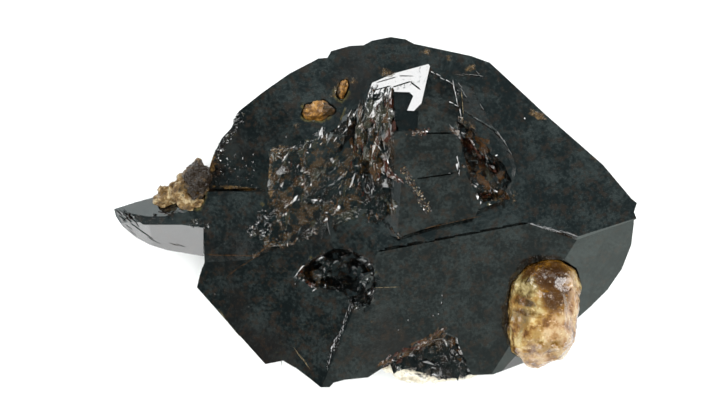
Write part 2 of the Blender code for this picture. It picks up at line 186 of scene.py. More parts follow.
# %% World
DIM = (0.050, 0.078, 0.082)
NEAR_GLOW = ((0.58, -0.773, 0.259), (1.05, 1.18, 1.10), 11.0)
FAR_GLOW = ((-0.25, 0.45, 0.857), (0.12, 0.17, 0.18), 6.0)
HORIZON_GREY = (1.35, 1.50, 1.50)
HORIZON_TOP = 0.32        # sine of the height at which the band has faded out
HORIZON_WAY = (-0.6, 0.8, 0.0)
HORIZON_FADE = (0.45, 0.85)       # how squarely one looks that way where it starts, and is palest
HORIZON_REST = 0.22       # what is left of the band away from its palest stretch

world = bpy.data.worlds.new("studio")
bpy.context.scene.world = world
world.use_nodes = True
sky = world.node_tree
look = Wire.add(sky, "ShaderNodeTexCoord")


def glow(way, sharpness):
    """Share of a glow: one towards the way it stands, falling off faster if it is sharp."""
    along = look.vector("DOT_PRODUCT", Vector(way).normalized())
    return along.math("MAXIMUM", 0.0).math("POWER", sharpness)


room = Wire.add(sky, "ShaderNodeRGB")
room.socket.default_value = (*DIM, 1.0)
for way, grey, sharpness in (NEAR_GLOW, FAR_GLOW):
    room = room.tint(glow(way, sharpness), grey, "ADD")
height = look.vector("DOT_PRODUCT", (0.0, 0.0, 1.0))
palest = look.vector("DOT_PRODUCT", HORIZON_WAY).step(*HORIZON_FADE)
band = (1 - height.step(0.0, HORIZON_TOP)) * (palest * (1 - HORIZON_REST) + HORIZON_REST)
room = room.tint(band, HORIZON_GREY, "ADD")
sky.links.new(room.socket, sky.nodes["Background"].inputs["Color"])
print("nodes in the sky:", len(sky.nodes))

# %% [markdown]
# A few lamps stand where bright faces look: one for the front of the blade, one for the crest,
# one for the chamfer on the ridge, and a small one for the wet-looking apatite.  Broken titanite
# glitters, because each tiny facet finds some small bright thing in the room.  So a ring of small
# round lamps stands all round, except where the large faces look.  They are seen in mirrors only.
# One large lamp overhead lights matt things and the floor, and is kept out of the mirrors.  The
# Standard view shows colours as they are set, without a film's curve.

# %% Lamps
MIDDLE = Vector((0.0, 0.0, 0.015))
LAMP_DISTANCE = 0.9
CREST_WAY = (66, 147)     # each way is an angle from overhead, and one from +X towards +Y
BLADE_WAY = (75, 240)
RIDGE_WAY = (76, 254)
APATITE_WAY = (60, 41)
LAMPS = [    # name, way, size in metres and brightness
    ("blade_lamp", BLADE_WAY, 0.46, 3.1), ("crest_lamp", CREST_WAY, 0.32, 8.5),
    ("ridge_lamp", RIDGE_WAY, 0.12, 14.0), ("apatite_lamp", APATITE_WAY, 0.30, 14.0),
]
OVERHEAD_DISTANCE = 1.1
OVERHEAD_SIZE = 1.3
OVERHEAD_BRIGHTNESS = 5.4
UP = Vector((0.0, 0.0, 1.0))


def towards(polar, azimuth):
    """Unit vector at an angle from overhead, turned from +X towards +Y; in degrees."""
    flat = sin(radians(polar))
    return Vector((flat * cos(radians(azimuth)), flat * sin(radians(azimuth)), cos(radians(polar))))


def lamp(name, way, distance, size, brightness, shape="SQUARE"):
    """Area lamp that faces the group."""
    data = bpy.data.lights.new(name, "AREA")
    data.shape = shape
    data.size = size
    data.energy = pi * size * size * brightness
    made = bpy.data.objects.new(name, data)
    bpy.context.scene.collection.objects.link(made)
    made.location = MIDDLE + way * distance
    made.rotation_euler = (-way).to_track_quat("-Z", "Y").to_euler()
    made.visible_camera = False
    return made


for name, way, size, brightness in LAMPS:
    lamp(name, towards(*way), LAMP_DISTANCE, size, brightness)
overhead = lamp("overhead", UP, OVERHEAD_DISTANCE, OVERHEAD_SIZE, OVERHEAD_BRIGHTNESS)
overhead.visible_glossy = False
print("lamps:", len(LAMPS), "and one overhead")

# %% Glint lamps
GLINT_LAMPS = 22
GLINT_SIZE = 0.055
GLINT_BRIGHTNESS = 16.0
GLINT_HIGHEST = 12        # the ring starts this far from overhead, in degrees
GLINT_DROP = 68           # and comes down by this much
GLINT_CROWDING = 0.6      # below one, more of them hang low
GOLDEN_ANGLE = 137.5      # turning by this much each time spreads them evenly
GLINT_CLEAR = 15.0        # kept clear of where the large faces look, in degrees
LARGE_FACES_LOOK = [(24, 68), (38, 152), (41, 299), (42, 195), (57, 308), (29, 193), (54, 232),
                    (41, 23), (40, 296)]

hung = 0
for number in range(GLINT_LAMPS):
    polar = GLINT_HIGHEST + GLINT_DROP * ((number + 0.5) / GLINT_LAMPS) ** GLINT_CROWDING
    way = towards(polar, GOLDEN_ANGLE * number)
    nearest = min(way.angle(towards(*look_way)) for look_way in LARGE_FACES_LOOK)
    if nearest > radians(GLINT_CLEAR):
        glint = lamp("glint_lamp", way, LAMP_DISTANCE, GLINT_SIZE, GLINT_BRIGHTNESS, "DISK")
        glint.visible_diffuse = False
        hung += 1
print("glint lamps:", hung)

# %% View
view = bpy.context.scene.view_settings
view.view_transform = "Standard"
view.look = "None"
print("view:", view.view_transform)

# %% [markdown]
# ## Floor
#
# A plain white sheet, which one face makes: paper that lies flat has no form to model.  It lies
# a hair below the flat cut, so that the two don't flicker.

# %% Floor
FLOOR_SIZE = 3.0          # metres, as is the drop
FLOOR_DROP = 0.00002

sheet = bmesh.new()
bmesh.ops.create_grid(sheet, x_segments=1, y_segments=1, size=FLOOR_SIZE / 2)
bmesh.ops.translate(sheet, verts=sheet.verts, vec=(0.0, 0.0, -FLOOR_DROP))
floor_mesh = bpy.data.meshes.new("floor")
sheet.to_mesh(floor_mesh)
sheet.free()
floor = bpy.data.objects.new("floor", floor_mesh)
bpy.context.scene.collection.objects.link(floor)
print("floor:", FLOOR_SIZE, "m wide")

# %% [markdown]
# ## What every finish needs
#
# A finish could use image textures, but noise has no seams on a crystal with many small faces and
# is sharp at any size.  So there are helpers for a new material, for cloudy noise, for a surface
# broken into flat bits, and for relief.  All of them read the place of a point in its own piece.
# The floor's paper is the first to use them.

# %% Finish helpers
def new_finish(name, constants):
    """A material, its tree and its main shader; constants go straight onto the sockets."""
    made = bpy.data.materials.new(name)
    made.use_nodes = True
    shader = made.node_tree.nodes["Principled BSDF"]
    for socket, value in constants.items():
        shader.inputs[socket].default_value = value
    return made, made.node_tree, shader


def feed(shader, **wires):
    """Link wires to the shader's sockets, with _ for a space in their names."""
    for name, wire in wires.items():
        shader.id_data.links.new(wire.socket, shader.inputs[name.replace("_", " ")])


def place_of(tree, scale):
    """The point's own place in the piece, in millimetres times scale."""
    place = Wire.add(tree, "ShaderNodeTexCoord", out=3)
    return place.vector("MULTIPLY", (scale / MM,) * 3)


def mottle(tree, scale, detail=4.0, rough=0.55):
    """Cloudy noise from nought to one; scale is in lumps to the millimetre."""
    return Wire.add(tree, "ShaderNodeTexNoise", {"noise_dimensions": "3D"},
                    {"Vector": place_of(tree, scale), "Scale": 1.0,
                     "Detail": detail, "Roughness": rough})


def facets(tree, scale):
    """Height of a surface broken into small flat pieces that all tilt differently."""
    place = place_of(tree, scale)
    cell = Wire.add(tree, "ShaderNodeTexVoronoi", {"feature": "F1"},
                    {"Vector": place, "Scale": 1.0}, 1)
    middle = Wire(cell.socket.node.outputs["Position"])
    lean = cell.vector("SUBTRACT", (0.5, 0.5, 0.5))
    return place.vector("SUBTRACT", middle).vector("DOT_PRODUCT", lean)


def bump(tree, height, depth):
    """Relief of that depth in millimetres, ready for a shader's Normal socket."""
    return Wire.add(tree, "ShaderNodeBump", None,
                    {"Height": height * (depth * MM), "Distance": 1.0, "Strength": 1.0})


# %% Floor finish
PAPER_STOPS = [(0.3, (0.88, 0.88, 0.87)), (0.7, (0.91, 0.91, 0.90))]
PAPER_CLOUDS = 0.02       # clouds of the paper's white, to the millimetre

floor_finish, tree, shader = new_finish("white_sheet", {"Roughness": 0.9, "IOR": 1.3})
feed(shader, Base_Color=mottle(tree, PAPER_CLOUDS).ramp(*PAPER_STOPS))
floor_mesh.materials.append(floor_finish)
print("finish of the floor:", floor_finish.name)

# %% [markdown]
# ## From a plain solid to a crystal
#
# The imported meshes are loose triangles.  A copy is welded first, and triangles that lie in one
# plane are dissolved, so that each crystal face is one polygon.  Then parallel planes cut the
# copy into a net.  Flat faces stay exactly flat: the net is there to hold painted stains, and so
# that grooves and broken places can be moved vertex by vertex.

# %% Mesh helpers
WELD = 0.001              # corners nearer than this are one, in millimetres
SAME_PLANE = 0.3          # triangles that differ by less belong to one face, in degrees
ON_PLANE = 1e-4           # corners nearer than this to a cut are not cut again


def welded(node):
    """A copy of a node's mesh as one closed surface, in millimetres."""
    solid = bmesh.new()
    solid.from_mesh(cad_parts[node].data)
    bmesh.ops.scale(solid, vec=(1 / MM, 1 / MM, 1 / MM), verts=solid.verts)
    bmesh.ops.remove_doubles(solid, verts=solid.verts, dist=WELD)
    bmesh.ops.dissolve_limit(solid, angle_limit=radians(SAME_PLANE), verts=solid.verts,
                             edges=solid.edges)
    return solid


def points_of(solid):
    return np.array([vert.co[:] for vert in solid.verts])


def slice_through(solid, point, normal, geometry=None):
    """Cut edges where a plane passes, and leave the shape as it is."""
    geometry = geometry or solid.verts[:] + solid.edges[:] + solid.faces[:]
    bmesh.ops.bisect_plane(solid, geom=geometry, dist=ON_PLANE, plane_co=point, plane_no=normal)


def net(solid, spacing):
    """Cut the surface into a net with planes at even steps along each axis."""
    for axis, step in enumerate(spacing):
        normal = Vector([float(axis == other) for other in range(3)])
        values = points_of(solid)[:, axis]
        for cut in np.arange(values.min() + step / 2, values.max(), step):
            slice_through(solid, normal * cut, normal)


def only_triangles(solid):
    bmesh.ops.triangulate(solid, faces=[face for face in solid.faces if len(face.verts) > 3])


def refine(solid, wanted, longest, passes=4):
    """Halve the edges longer than that, where wanted(points) is true for their middles."""
    for _ in range(passes):
        only_triangles(solid)
        solid.verts.ensure_lookup_table()
        edges = solid.edges[:]
        ends = np.array([[vert.index for vert in edge.verts] for edge in edges])
        points = points_of(solid)
        first, second = points[ends[:, 0]], points[ends[:, 1]]
        split = np.linalg.norm(first - second, axis=1) > longest
        split &= wanted((first + second) / 2)
        if not split.any():
            break
        chosen = [edge for edge, halve in zip(edges, split) if halve]
        bmesh.ops.subdivide_edges(solid, edges=chosen, cuts=1)
        solid.verts.index_update()
    only_triangles(solid)


def everywhere(points):
    return np.ones(len(points), bool)


def paint(solid, label, values):
    """Keep a number at every vertex, for the finish to read."""
    layer = solid.verts.layers.float.get(label) or solid.verts.layers.float.new(label)
    for vert, value in zip(solid.verts, values):
        vert[layer] = float(value)


def finished(solid, name, nodes, finish):
    """Turn a shaped copy into a piece that stands for its nodes."""
    bmesh.ops.scale(solid, vec=(MM, MM, MM), verts=solid.verts)
    only_triangles(solid)
    mesh = bpy.data.meshes.new(name)
    solid.to_mesh(mesh)
    solid.free()
    mesh.shade_flat()
    mesh.materials.append(finish)
    piece = bpy.data.objects.new(name, mesh)
    bpy.context.scene.collection.objects.link(piece)
    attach(piece, "root")
    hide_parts(*nodes)
    print(name, len(mesh.polygons), "triangles")


# %% [markdown]
# ## Where things are
#
# Broken patches and stains have a place on the group.  Three small shapes describe them all,
# seen from above: a disc, a stroke between two points, and an outlined area.  Each gives every
# point a weight from nought to one that fades at the border.

# %% Shapes of patches
def fade(distance, width):
    """One inside (distance below nought), nought beyond the width."""
    share = np.clip(1 - distance / width, 0, 1)
    return share * share * (3 - 2 * share)


def disc(points, x, y, half_x, half_y, turn, soft):
    """Oval patch; turn is in degrees, and soft is the share of it that fades."""
    across, up = points[:, 0] - x, points[:, 1] - y
    c, s = cos(radians(turn)), sin(radians(turn))
    reach = np.hypot((across * c + up * s) / half_x, (up * c - across * s) / half_y)
    return fade(reach - (1 - soft), 2 * soft)


def stroke(points, start, end, width, soft):
    """Band along a line from start to end; soft is how far it fades beyond."""
    start, end = np.array(start), np.array(end)
    along = end - start
    share = np.clip(((points[:, :2] - start) @ along) / (along @ along), 0, 1)
    reach = np.linalg.norm(points[:, :2] - start - share[:, None] * along, axis=1)
    return fade(reach - width / 2, soft)


def area(points, outline, soft):
    """Outlined patch: full strength inside, fading over its border."""
    x, y = points[:, 0], points[:, 1]
    inside = np.zeros(len(points), bool)
    for (x1, y1), (x2, y2) in zip(outline, outline[1:] + outline[:1]):
        if y1 != y2:
            crosses = (y1 > y) != (y2 > y)
            inside ^= crosses & (x < x1 + (y - y1) * (x2 - x1) / (y2 - y1))
    sides = zip(outline, outline[1:] + outline[:1])
    border = np.max([stroke(points, start, end, 0.0, soft) for start, end in sides], axis=0)
    return np.where(inside, 1.0, border)


# %% [markdown]
# ## The titanite
#
# All the titanite is one piece.  Its growth faces are mirrors.  Between the blade and the steps
# it is broken into splinters, and there are smaller broken spots: a pit, a bay in the lower
# edge, a slot beside the steps, and bruises along some edges.  Such places could be painted by
# hand on a map, but an outline of a few points can be read and moved.  So they are outlined
# first, in millimetres from the middle of the group, and the net is made finer inside them.

# %% Broken places
BLOCK = [(-13.5, 7.6), (-8.5, 9.2), (-3.9, 11.0), (-2.9, 12.0), (-2.4, 5.6), (-1.6, 1.4),
         (-4.8, -0.2), (-9.7, -2.0), (-13.4, -3.0), (-13.4, -0.4)]
SPLINTERS = [(-2.9, 12.3), (-1.4, 13.9), (1.9, 13.9), (2.6, 11.6), (2.4, 8.3), (1.6, 6.0),
             (-0.4, 5.0), (-2.9, 5.6), (-3.7, 9.6)]
FOOT = [(-2.8, 5.4), (1.4, 5.6), (2.4, 3.6), (1.7, 0.9), (0.6, -1.3), (-0.6, -1.3), (-1.8, 1.0)]
CREST_FOOT = [(-1.2, 13.3), (-0.9, 15.6), (-0.3, 16.6), (2.2, 16.2), (2.0, 13.8)]
CREST_BAND = [(-1.0, 15.2), (-0.2, 17.0), (3.0, 18.2), (7.0, 19.4), (7.2, 17.6), (2.6, 16.4),
              (1.8, 15.2)]
PIT = [(-9.9, -8.1), (-8.3, -6.6), (-5.3, -4.9), (-2.9, -5.1), (-0.4, -6.5), (0.4, -9.7),
       (-0.6, -12.4), (-2.6, -12.7), (-4.0, -10.6), (-7.2, -9.9), (-8.9, -9.5)]
NOTCH = [(9.1, -15.8), (6.8, -17.5), (4.8, -18.6), (1.3, -20.3), (1.0, -24.5), (14.0, -24.5),
         (12.6, -21.6), (10.8, -17.4)]
CAVITY = [(10.9, 11.8), (12.6, 11.0), (14.9, 8.6), (17.0, 6.2), (17.9, 4.2), (16.9, 1.9),
          (14.3, 1.3), (13.4, 2.9), (12.4, 5.2), (11.9, 8.2), (11.3, 10.2)]
BRUISE = [(-16.9, -2.3), (-14.6, 0.6), (-12.4, 0.4), (-11.6, -2.4), (-13.6, -4.1), (-16.2, -3.4)]
NOTCH_FLOOR = [(9.1, -16.3), (6.8, -17.9), (4.6, -19.1), (2.6, -20.2), (6.0, -21.5),
               (11.4, -21.8), (12.2, -21.5), (10.6, -17.9)]
PIT_END = [(-10.3, -8.2), (-9.4, -7.2), (-7.4, -7.8), (-6.9, -9.4), (-8.2, -10.2)]
NOTCH_TIP = [(4.0, -18.6), (9.2, -15.6), (10.2, -17.2), (8.6, -18.4), (5.2, -20.2)]
BROWN_END = [(-14.4, -3.2), (-9.9, -2.2), (-7.0, -1.9), (-8.4, -3.4), (-12.2, -4.4),
             (-14.6, -4.6)]
BLOCKS = [(-7.0, -6.4), (-4.9, -5.4), (-2.8, -5.5), (-1.4, -6.9), (-1.6, -8.6), (-4.6, -8.0),
          (-6.6, -8.2)]
ETCHED = [(-21.3, 7.7), (-15.7, 7.9), (-15.5, 3.4), (-21.2, 3.3)]
ALL_BROKEN = (BLOCK, SPLINTERS, FOOT, PIT, NOTCH, CAVITY, BRUISE)
ALL_RUSTY = (BLOCK, SPLINTERS, BROWN_END, PIT_END, NOTCH_TIP)
print("broken places:", len(ALL_BROKEN), "and rusty ones:", len(ALL_RUSTY))

# %% How broken and how rusty
BREAK_FADE = 0.25         # a break ends sharply, rust less so; in millimetres
RUST_FADE = 0.4
ETCHED_SHARE = 0.35       # the etched patch is only a little broken, and fades widely
ETCHED_FADE = 0.8
CAVITY_RUST = 0.35        # the cavity is only a little rusty
HIDDEN_BELOW = 9.0        # lower parts stay whole, as they can't be seen from above


def brokenness(points):
    """How broken the titanite is at each point, for what can be seen from above."""
    broken = [area(points, outline, BREAK_FADE) for outline in ALL_BROKEN]
    broken.append(ETCHED_SHARE * area(points, ETCHED, ETCHED_FADE))
    return np.max(broken, axis=0) * (points[:, 2] > HIDDEN_BELOW)


def rust_shares(points):
    """How rusty the broken ground is at each point."""
    shares = [area(points, outline, RUST_FADE) for outline in ALL_RUSTY]
    shares.append(CAVITY_RUST * area(points, CAVITY, RUST_FADE))
    return np.max(shares, axis=0)


# %% Net of the titanite
NET = (0.6, 0.6, 1.5)     # spacing along each axis
BROKEN_NET = 0.4          # longest edge where it is broken

titanite = welded("titanite")
net(titanite, NET)
refine(titanite, lambda points: brokenness(points) > 0.5, BROKEN_NET, passes=2)
print("titanite net:", len(titanite.faces), "triangles")

# %% [markdown]
# ## Grooves
#
# The dark lines between growth layers are narrow furrows that mirror nothing but themselves.
# A boolean could carve them, but it would leave slivers in the net.  Three cuts side by side give
# the net the edges that it needs, and the middle one is lowered.

# %% Grooves
GROOVE_BAND = 2.4         # faces are cut within this width along the line
FACES_UP = 0.05           # upward share of a face's normal, below which it is not cut
ON_LINE = 0.002           # corners nearer than this to the middle cut are on it
GROOVES = [    # start, end, width and depth
    ((0.5, -5.2), (6.6, -4.0), 0.60, 0.55), ((6.6, -4.0), (20.4, -1.4), 0.42, 0.45),
    ((5.8, 10.4), (10.2, 10.4), 0.35, 0.35), ((5.6, 4.4), (10.8, 5.2), 0.30, 0.30),
    ((3.6, -3.3), (9.0, -1.6), 0.25, 0.25), ((-0.4, 15.9), (2.2, 16.6), 0.16, 0.12),
    ((2.4, 16.4), (5.0, 17.2), 0.18, 0.15), ((4.8, 17.0), (6.1, 16.0), 0.20, 0.15),
    ((0.2, 17.0), (2.7, 17.7), 0.14, 0.12), ((3.4, 17.9), (5.2, 17.8), 0.14, 0.12),
    ((-21.8, 2.8), (-15.6, 3.0), 0.45, 0.50),
]


def groove(solid, start, end, width, depth):
    """A narrow furrow along a line seen from above; its ends run out flat."""
    along = Vector((end[0] - start[0], end[1] - start[1], 0.0)).normalized()
    across = Vector((-along.y, along.x, 0.0))
    origin = Vector((*start, 0.0))
    for side in (-0.5, 0.0, 0.5):
        solid.normal_update()
        centres = np.array([face.calc_center_median()[:] for face in solid.faces])
        close = stroke(centres, start, end, GROOVE_BAND, 0.01) > 0.5
        faces = [face for face, near in zip(solid.faces, close)
                 if near and face.normal.z > FACES_UP]
        edges = {edge for face in faces for edge in face.edges}
        verts = {vert for face in faces for vert in face.verts}
        slice_through(solid, origin + across * (side * width), across, [*verts, *edges, *faces])
    length = (Vector(end) - Vector(start)).length
    for vert in solid.verts:
        reach = (vert.co - origin).dot(along)
        off_line = abs((vert.co - origin).dot(across))
        if off_line < ON_LINE and 0 < reach < length and vert.co.z > HIDDEN_BELOW:
            vert.co.z -= depth * min(1.0, reach / width, (length - reach) / width)


for start, end, width, depth in GROOVES:
    groove(titanite, start, end, width, depth)
print("after grooves:", len(titanite.faces), "faces")

# %% [markdown]
# ## Roughness of the hollows
#
# The floors of the hollows are broken unevenly.  Smooth noise would make them look melted.
# Moving the vertices of the net by a random pattern of cells, each with its own slope, gives flat
# chips instead of soft waves.

# %% Shattered floors
CELL = 1.0                # width of a flat cell, in millimetres
CELL_RELIEF = 0.30
CELL_SEED = 37.0          # another number gives every cell another slope
LEAST_BROKEN = 0.05       # below this share the ground stays as it is


def shatter(solid, weights):
    """Tilt every cell of a random pattern its own way."""
    for vert, weight in zip(solid.verts, weights):
        if weight > LEAST_BROKEN:
            spot = vert.co / CELL
            cell = noise.voronoi(spot)[1][0]
            lean = noise.cell_vector(cell * CELL_SEED)
            vert.co += lean * (lean.dot(spot - cell) * weight * CELL_RELIEF)


weights = brokenness(points_of(titanite))
shatter(titanite, weights)
print("shattered points:", int(np.sum(weights > LEAST_BROKEN)))

# %% [markdown]
# ## Painted stains
#
# Rust came later and lies in films.  Patches of colour could be pieces of their own, but a film
# has no thickness to speak of.  So two numbers at every vertex say where it lies: an ochre crust,
# and a thin dark brown veil.  The finish breaks both up with noise, so the painting can be loose.
# A third number marks the thin rim between front and back; its amber is painted light shining
# through the thin edge, over the titanite's own brown.

# %% Places of the stains
CRUST = [    # place, half sizes, turn in degrees and strength
    (-0.3, -14.4, 0.35, 0.28, 0, 0.9), (-0.4, -16.1, 0.40, 0.30, 0, 0.9),
    (1.5, 18.6, 1.5, 0.9, -20, 0.75), (6.9, 21.5, 1.0, 0.7, 0, 0.75),
    (10.1, 20.6, 0.7, 0.7, 0, 0.6),
    (12.8, 19.2, 1.0, 0.7, 10, 0.8), (15.8, 16.5, 0.8, 0.4, 0, 0.4),
    (21.7, 12.9, 1.6, 0.6, -22, 0.9),
    (-4.9, 16.3, 1.8, 0.7, 50, 0.7), (-2.8, 17.6, 1.8, 0.7, 10, 0.5),
    (-10.1, 11.4, 0.9, 0.6, 0, 0.6),
    (-12.7, 8.3, 1.7, 0.7, 20, 0.7), (-13.6, 4.0, 0.5, 4.6, 0, 0.75),
    (-21.5, 6.6, 0.7, 1.7, -10, 1.0), (-18.6, 3.2, 3.4, 0.35, -3, 0.8),
    (-12.6, -3.4, 2.4, 1.1, 15, 0.75), (-15.6, -5.6, 1.0, 0.35, 30, 0.9),
    (-19.5, -5.9, 3.2, 0.2, -2, 0.7), (-10.6, -2.6, 1.6, 0.9, 20, 0.6),
    (8.3, -16.2, 1.4, 0.8, 40, 0.8),
    (5.0, -18.4, 2.0, 0.7, 35, 0.7), (11.6, -19.3, 0.3, 2.6, 18, 0.7),
    (18.6, 1.9, 0.7, 1.2, 0, 0.6),
    (15.9, 1.8, 2.0, 0.5, 0, 0.8), (24.4, 1.2, 0.3, 0.3, 0, 0.8), (12.3, 11.6, 1.9, 0.6, -35, 0.7),
    (1.8, 0.9, 1.2, 1.4, 0, 0.6), (26.4, -1.6, 0.5, 0.4, 0, 0.5), (21.0, 3.0, 1.7, 0.7, 0, 0.35),
    (17.5, 16.4, 1.0, 0.8, 0, 0.5), (29.2, 7.0, 2.5, 0.5, -42, 0.5),
    (-16.0, -20.0, 1.8, 0.5, -45, 0.5),
]
VEIL = [    # the same
    (-18.6, -4.7, 4.4, 1.6, 0, 0.5), (-20.9, -8.2, 1.6, 2.6, 0, 0.7),
    (-14.4, 3.6, 1.6, 2.2, 0, 0.9),
    (-9.4, -2.6, 3.6, 1.6, 12, 0.7), (1.7, 0.6, 1.8, 2.0, 0, 0.8), (18.4, 7.6, 1.2, 2.4, 0, 0.45),
    (20.6, 3.0, 2.6, 1.4, 0, 0.4), (14.2, 9.8, 1.6, 1.0, -45, 0.6),
    (-14.0, 12.6, 5.5, 2.0, 38, 0.5),
    (-5.0, 19.5, 5.0, 1.5, 15, 0.5), (-16.0, -12.0, 6.0, 4.0, -40, 0.35),
    (8.0, 19.5, 6.5, 1.8, -12, 0.4),
    (26.0, 8.5, 8.5, 1.1, -42, 0.6), (14.5, 4.2, 3.0, 2.8, 0, 0.9), (3.2, -20.0, 3.0, 1.6, 25, 0.8),
    (-7.5, -13.0, 3.0, 2.5, 0, 0.3), (-6.5, -22.0, 3.0, 1.3, -20, 0.5),
]
print("stains:", len(CRUST), "of crust and", len(VEIL), "of veil")

# %% Painting the stains
PATCH_FADE = 0.45         # share of an oval patch that fades
LOOKS_DOWN = -0.15        # upward share of the normal, below which the back begins
HIDDEN_CRUST = 0.42       # strengths at the back
HIDDEN_VEIL = 0.45


def stains(points, patches):
    """The strongest of several oval patches: place, half sizes, turn and strength."""
    return np.max([strength * disc(points, x, y, wide, high, turn, PATCH_FADE)
                   for x, y, wide, high, turn, strength in patches], axis=0)


# %% The worn rim
RIM_REACH = 0.55          # how far the rim's mark fades, in millimetres
RIM_SLOPES = (-0.3, 0.2)  # upward share of the normals below and above a rim's edge
RIM_CORE = 0.95           # share above which the rim is nibbled
RIM_WEAR = 0.10           # how far it is nibbled, in millimetres
RIM_NIBBLE = 0.9          # size of a nibble


def is_rim(edge):
    """Whether an edge parts a face that looks down from one that looks up."""
    slopes = [face.normal.z for face in edge.link_faces]
    return len(slopes) == 2 and min(slopes) < RIM_SLOPES[0] and max(slopes) > RIM_SLOPES[1]


def rim_shares(solid):
    """One on the sharp edges between front and back, nought beyond the reach."""
    rim = [vert.co.copy() for edge in solid.edges if is_rim(edge) for vert in edge.verts]
    tree = kdtree.KDTree(len(rim))
    for index, point in enumerate(rim):
        tree.insert(point, index)
    tree.balance()
    return fade(np.array([tree.find(vert.co)[2] for vert in solid.verts]), RIM_REACH)


titanite.normal_update()
rim = rim_shares(titanite) * (brokenness(points_of(titanite)) < 0.1)
for vert, share in zip(titanite.verts, rim):
    if share > RIM_CORE:
        vert.co += noise.noise_vector(vert.co / RIM_NIBBLE) * RIM_WEAR
print("points on the rim:", int(np.sum(rim > RIM_CORE)))

# %% Numbers at the vertices
points = points_of(titanite)
front = np.array([vert.normal.z for vert in titanite.verts]) > LOOKS_DOWN
paint(titanite, "crust", np.where(front, stains(points, CRUST), HIDDEN_CRUST))
paint(titanite, "veil", np.where(front, stains(points, VEIL), HIDDEN_VEIL))
paint(titanite, "rim", rim)
paint(titanite, "broken", brokenness(points) * front)
paint(titanite, "rust", rust_shares(points) * front)
paint(titanite, "tone", np.zeros(len(points)))
paint(titanite, "wavy", area(points, CREST_BAND, 0.5))
print("painted points:", len(points), "of which at the front", int(front.sum()))

# %% [markdown]
# ## Chips and splinters
#
# What makes broken titanite glitter is thousands of small flat facets.  Moving vertices can't
# give them crisp edges, so real chips are added: low pyramids, each a closed body half sunk into
# the surface.  A ray cast down from above finds where each one sits and which way the ground
# slopes.  Every chip gets one of five tones, because broken titanite is black where it is thick,
# red-brown where light gets through, and ochre or olive where it is stained.  The chips are made
# in meshes of their own and joined at the end, because adding to a large mesh is slow.

# %% Tones of the chips
BLACK, RED, BROWN, OLIVE, CREAM = 0.0, 0.25, 0.5, 0.75, 1.0
DARK = [BLACK, BLACK, BROWN, OLIVE, BLACK]
MIXED = [BROWN, OLIVE, BLACK, BROWN, RED, OLIVE]
RUSTY = [BLACK] * 4 + [BROWN] * 3 + [OLIVE] * 2 + [RED, CREAM]
GOLDEN = [BLACK] * 2 + [BROWN] * 4 + [OLIVE, CREAM]
REDDISH = [BLACK] * 3 + [RED] * 3 + [BROWN] * 2
CLAYEY = [BROWN, BROWN, OLIVE, BLACK]
GREENISH = [OLIVE, OLIVE, BLACK]

# %% The ground under the chips
DRAW_SEED = 23
ABOVE_ALL = 60.0          # rays start at this height

titanite.normal_update()
ground = BVHTree.FromBMesh(titanite)
draw = random.Random(DRAW_SEED)
chip_meshes = []


def ground_at(x, y):
    """Where a ray from above meets the titanite, and the way the surface faces there."""
    point, normal, _, _ = ground.ray_cast(Vector((x, y, ABOVE_ALL)), -UP)
    return point, normal


peak, _ = ground_at(*VIEW_MIDDLE)
print("height of the ground under the camera:", round(peak.z, 1), "mm")

# %% One chip
CHIP_RADIUS = 0.62        # of a chip that is one millimetre across
CHIP_SIDES = (3, 4, 5)
JITTER = 0.12             # unevenness of a chip's corners, as a share of its size
LEAN_SHARE = 0.7          # two draws, one for each way, make up one lean


def chip(batch, x, y, facing, size, turn, tone, sides, rise=0.5, tip=0.2, even=False):
    """Pyramid whose blunt tip looks along facing.

    Size is across, along and deep.  Rise is the share of the depth above the ground, tip the
    share of the width left at the top, and an even chip is a mirror with straight corners.
    """
    point, _ = ground_at(x, y)
    if point is None:
        return
    size = Vector(size)
    place = point + facing * (size.z * (rise - 0.5))
    turned = UP.rotation_difference(facing).to_matrix().to_4x4()
    matrix = (Matrix.Translation(place) @ turned @ Matrix.Rotation(radians(turn), 4, "Z")
              @ Matrix.Diagonal((*size, 1.0)))
    made = bmesh.ops.create_cone(batch, cap_ends=True, segments=sides, radius1=CHIP_RADIUS,
                                 radius2=CHIP_RADIUS * tip, depth=1.0, matrix=matrix)
    for vert in made["verts"]:
        vert[batch.verts.layers.float["tone"]] = tone
        vert[batch.verts.layers.float["broken"]] = 0.0 if even else 1.0
        if not even:
            vert.co += Vector([draw.uniform(-JITTER, JITTER) * side for side in size])


def new_batch():
    batch = bmesh.new()
    batch.verts.layers.float.new("tone")
    batch.verts.layers.float.new("broken")
    return batch


def keep(batch):
    """Put a batch of chips aside as a mesh, to be joined with the titanite."""
    paint(batch, "rust", rust_shares(points_of(batch)))
    mesh = bpy.data.meshes.new("chips")
    batch.to_mesh(mesh)
    batch.free()
    chip_meshes.append(mesh)


def leaning(x, y, lean, facing=None):
    """A way to face, off by a random lean from the given one.

    Without one it starts halfway between the way the ground faces and straight up.
    """
    if facing is None:
        _, normal = ground_at(x, y)
        facing = ((normal or UP) + UP).normalized()
    off = Vector((draw.gauss(0, 1), draw.gauss(0, 1), 0)) * (LEAN_SHARE * sin(radians(lean)))
    return (facing + off).normalized()


# %% [markdown]
# Chips come in crowds.  A crowd fills an outline or follows a line, and has ranges for the size
# of its chips, a way they are turned, and a list of tones to draw from.  A particle system could
# scatter them, but its chips would all be copies of a few, and they couldn't be joined with the
# crystal before the finish reads them.  Rust comes in patches, so tones other than black are
# kept to the patches of a noise, unless a crowd is rusty all over.

# %% A crowd of chips
def spots_in(outline, count):
    """Random places inside an outline."""
    xs, ys = zip(*outline)
    found = []
    while len(found) < count:
        spot = (draw.uniform(min(xs), max(xs)), draw.uniform(min(ys), max(ys)), 0.0)
        if area(np.array([spot]), outline, 0.01)[0] > 0.99:
            found.append(spot[:2])
    return found


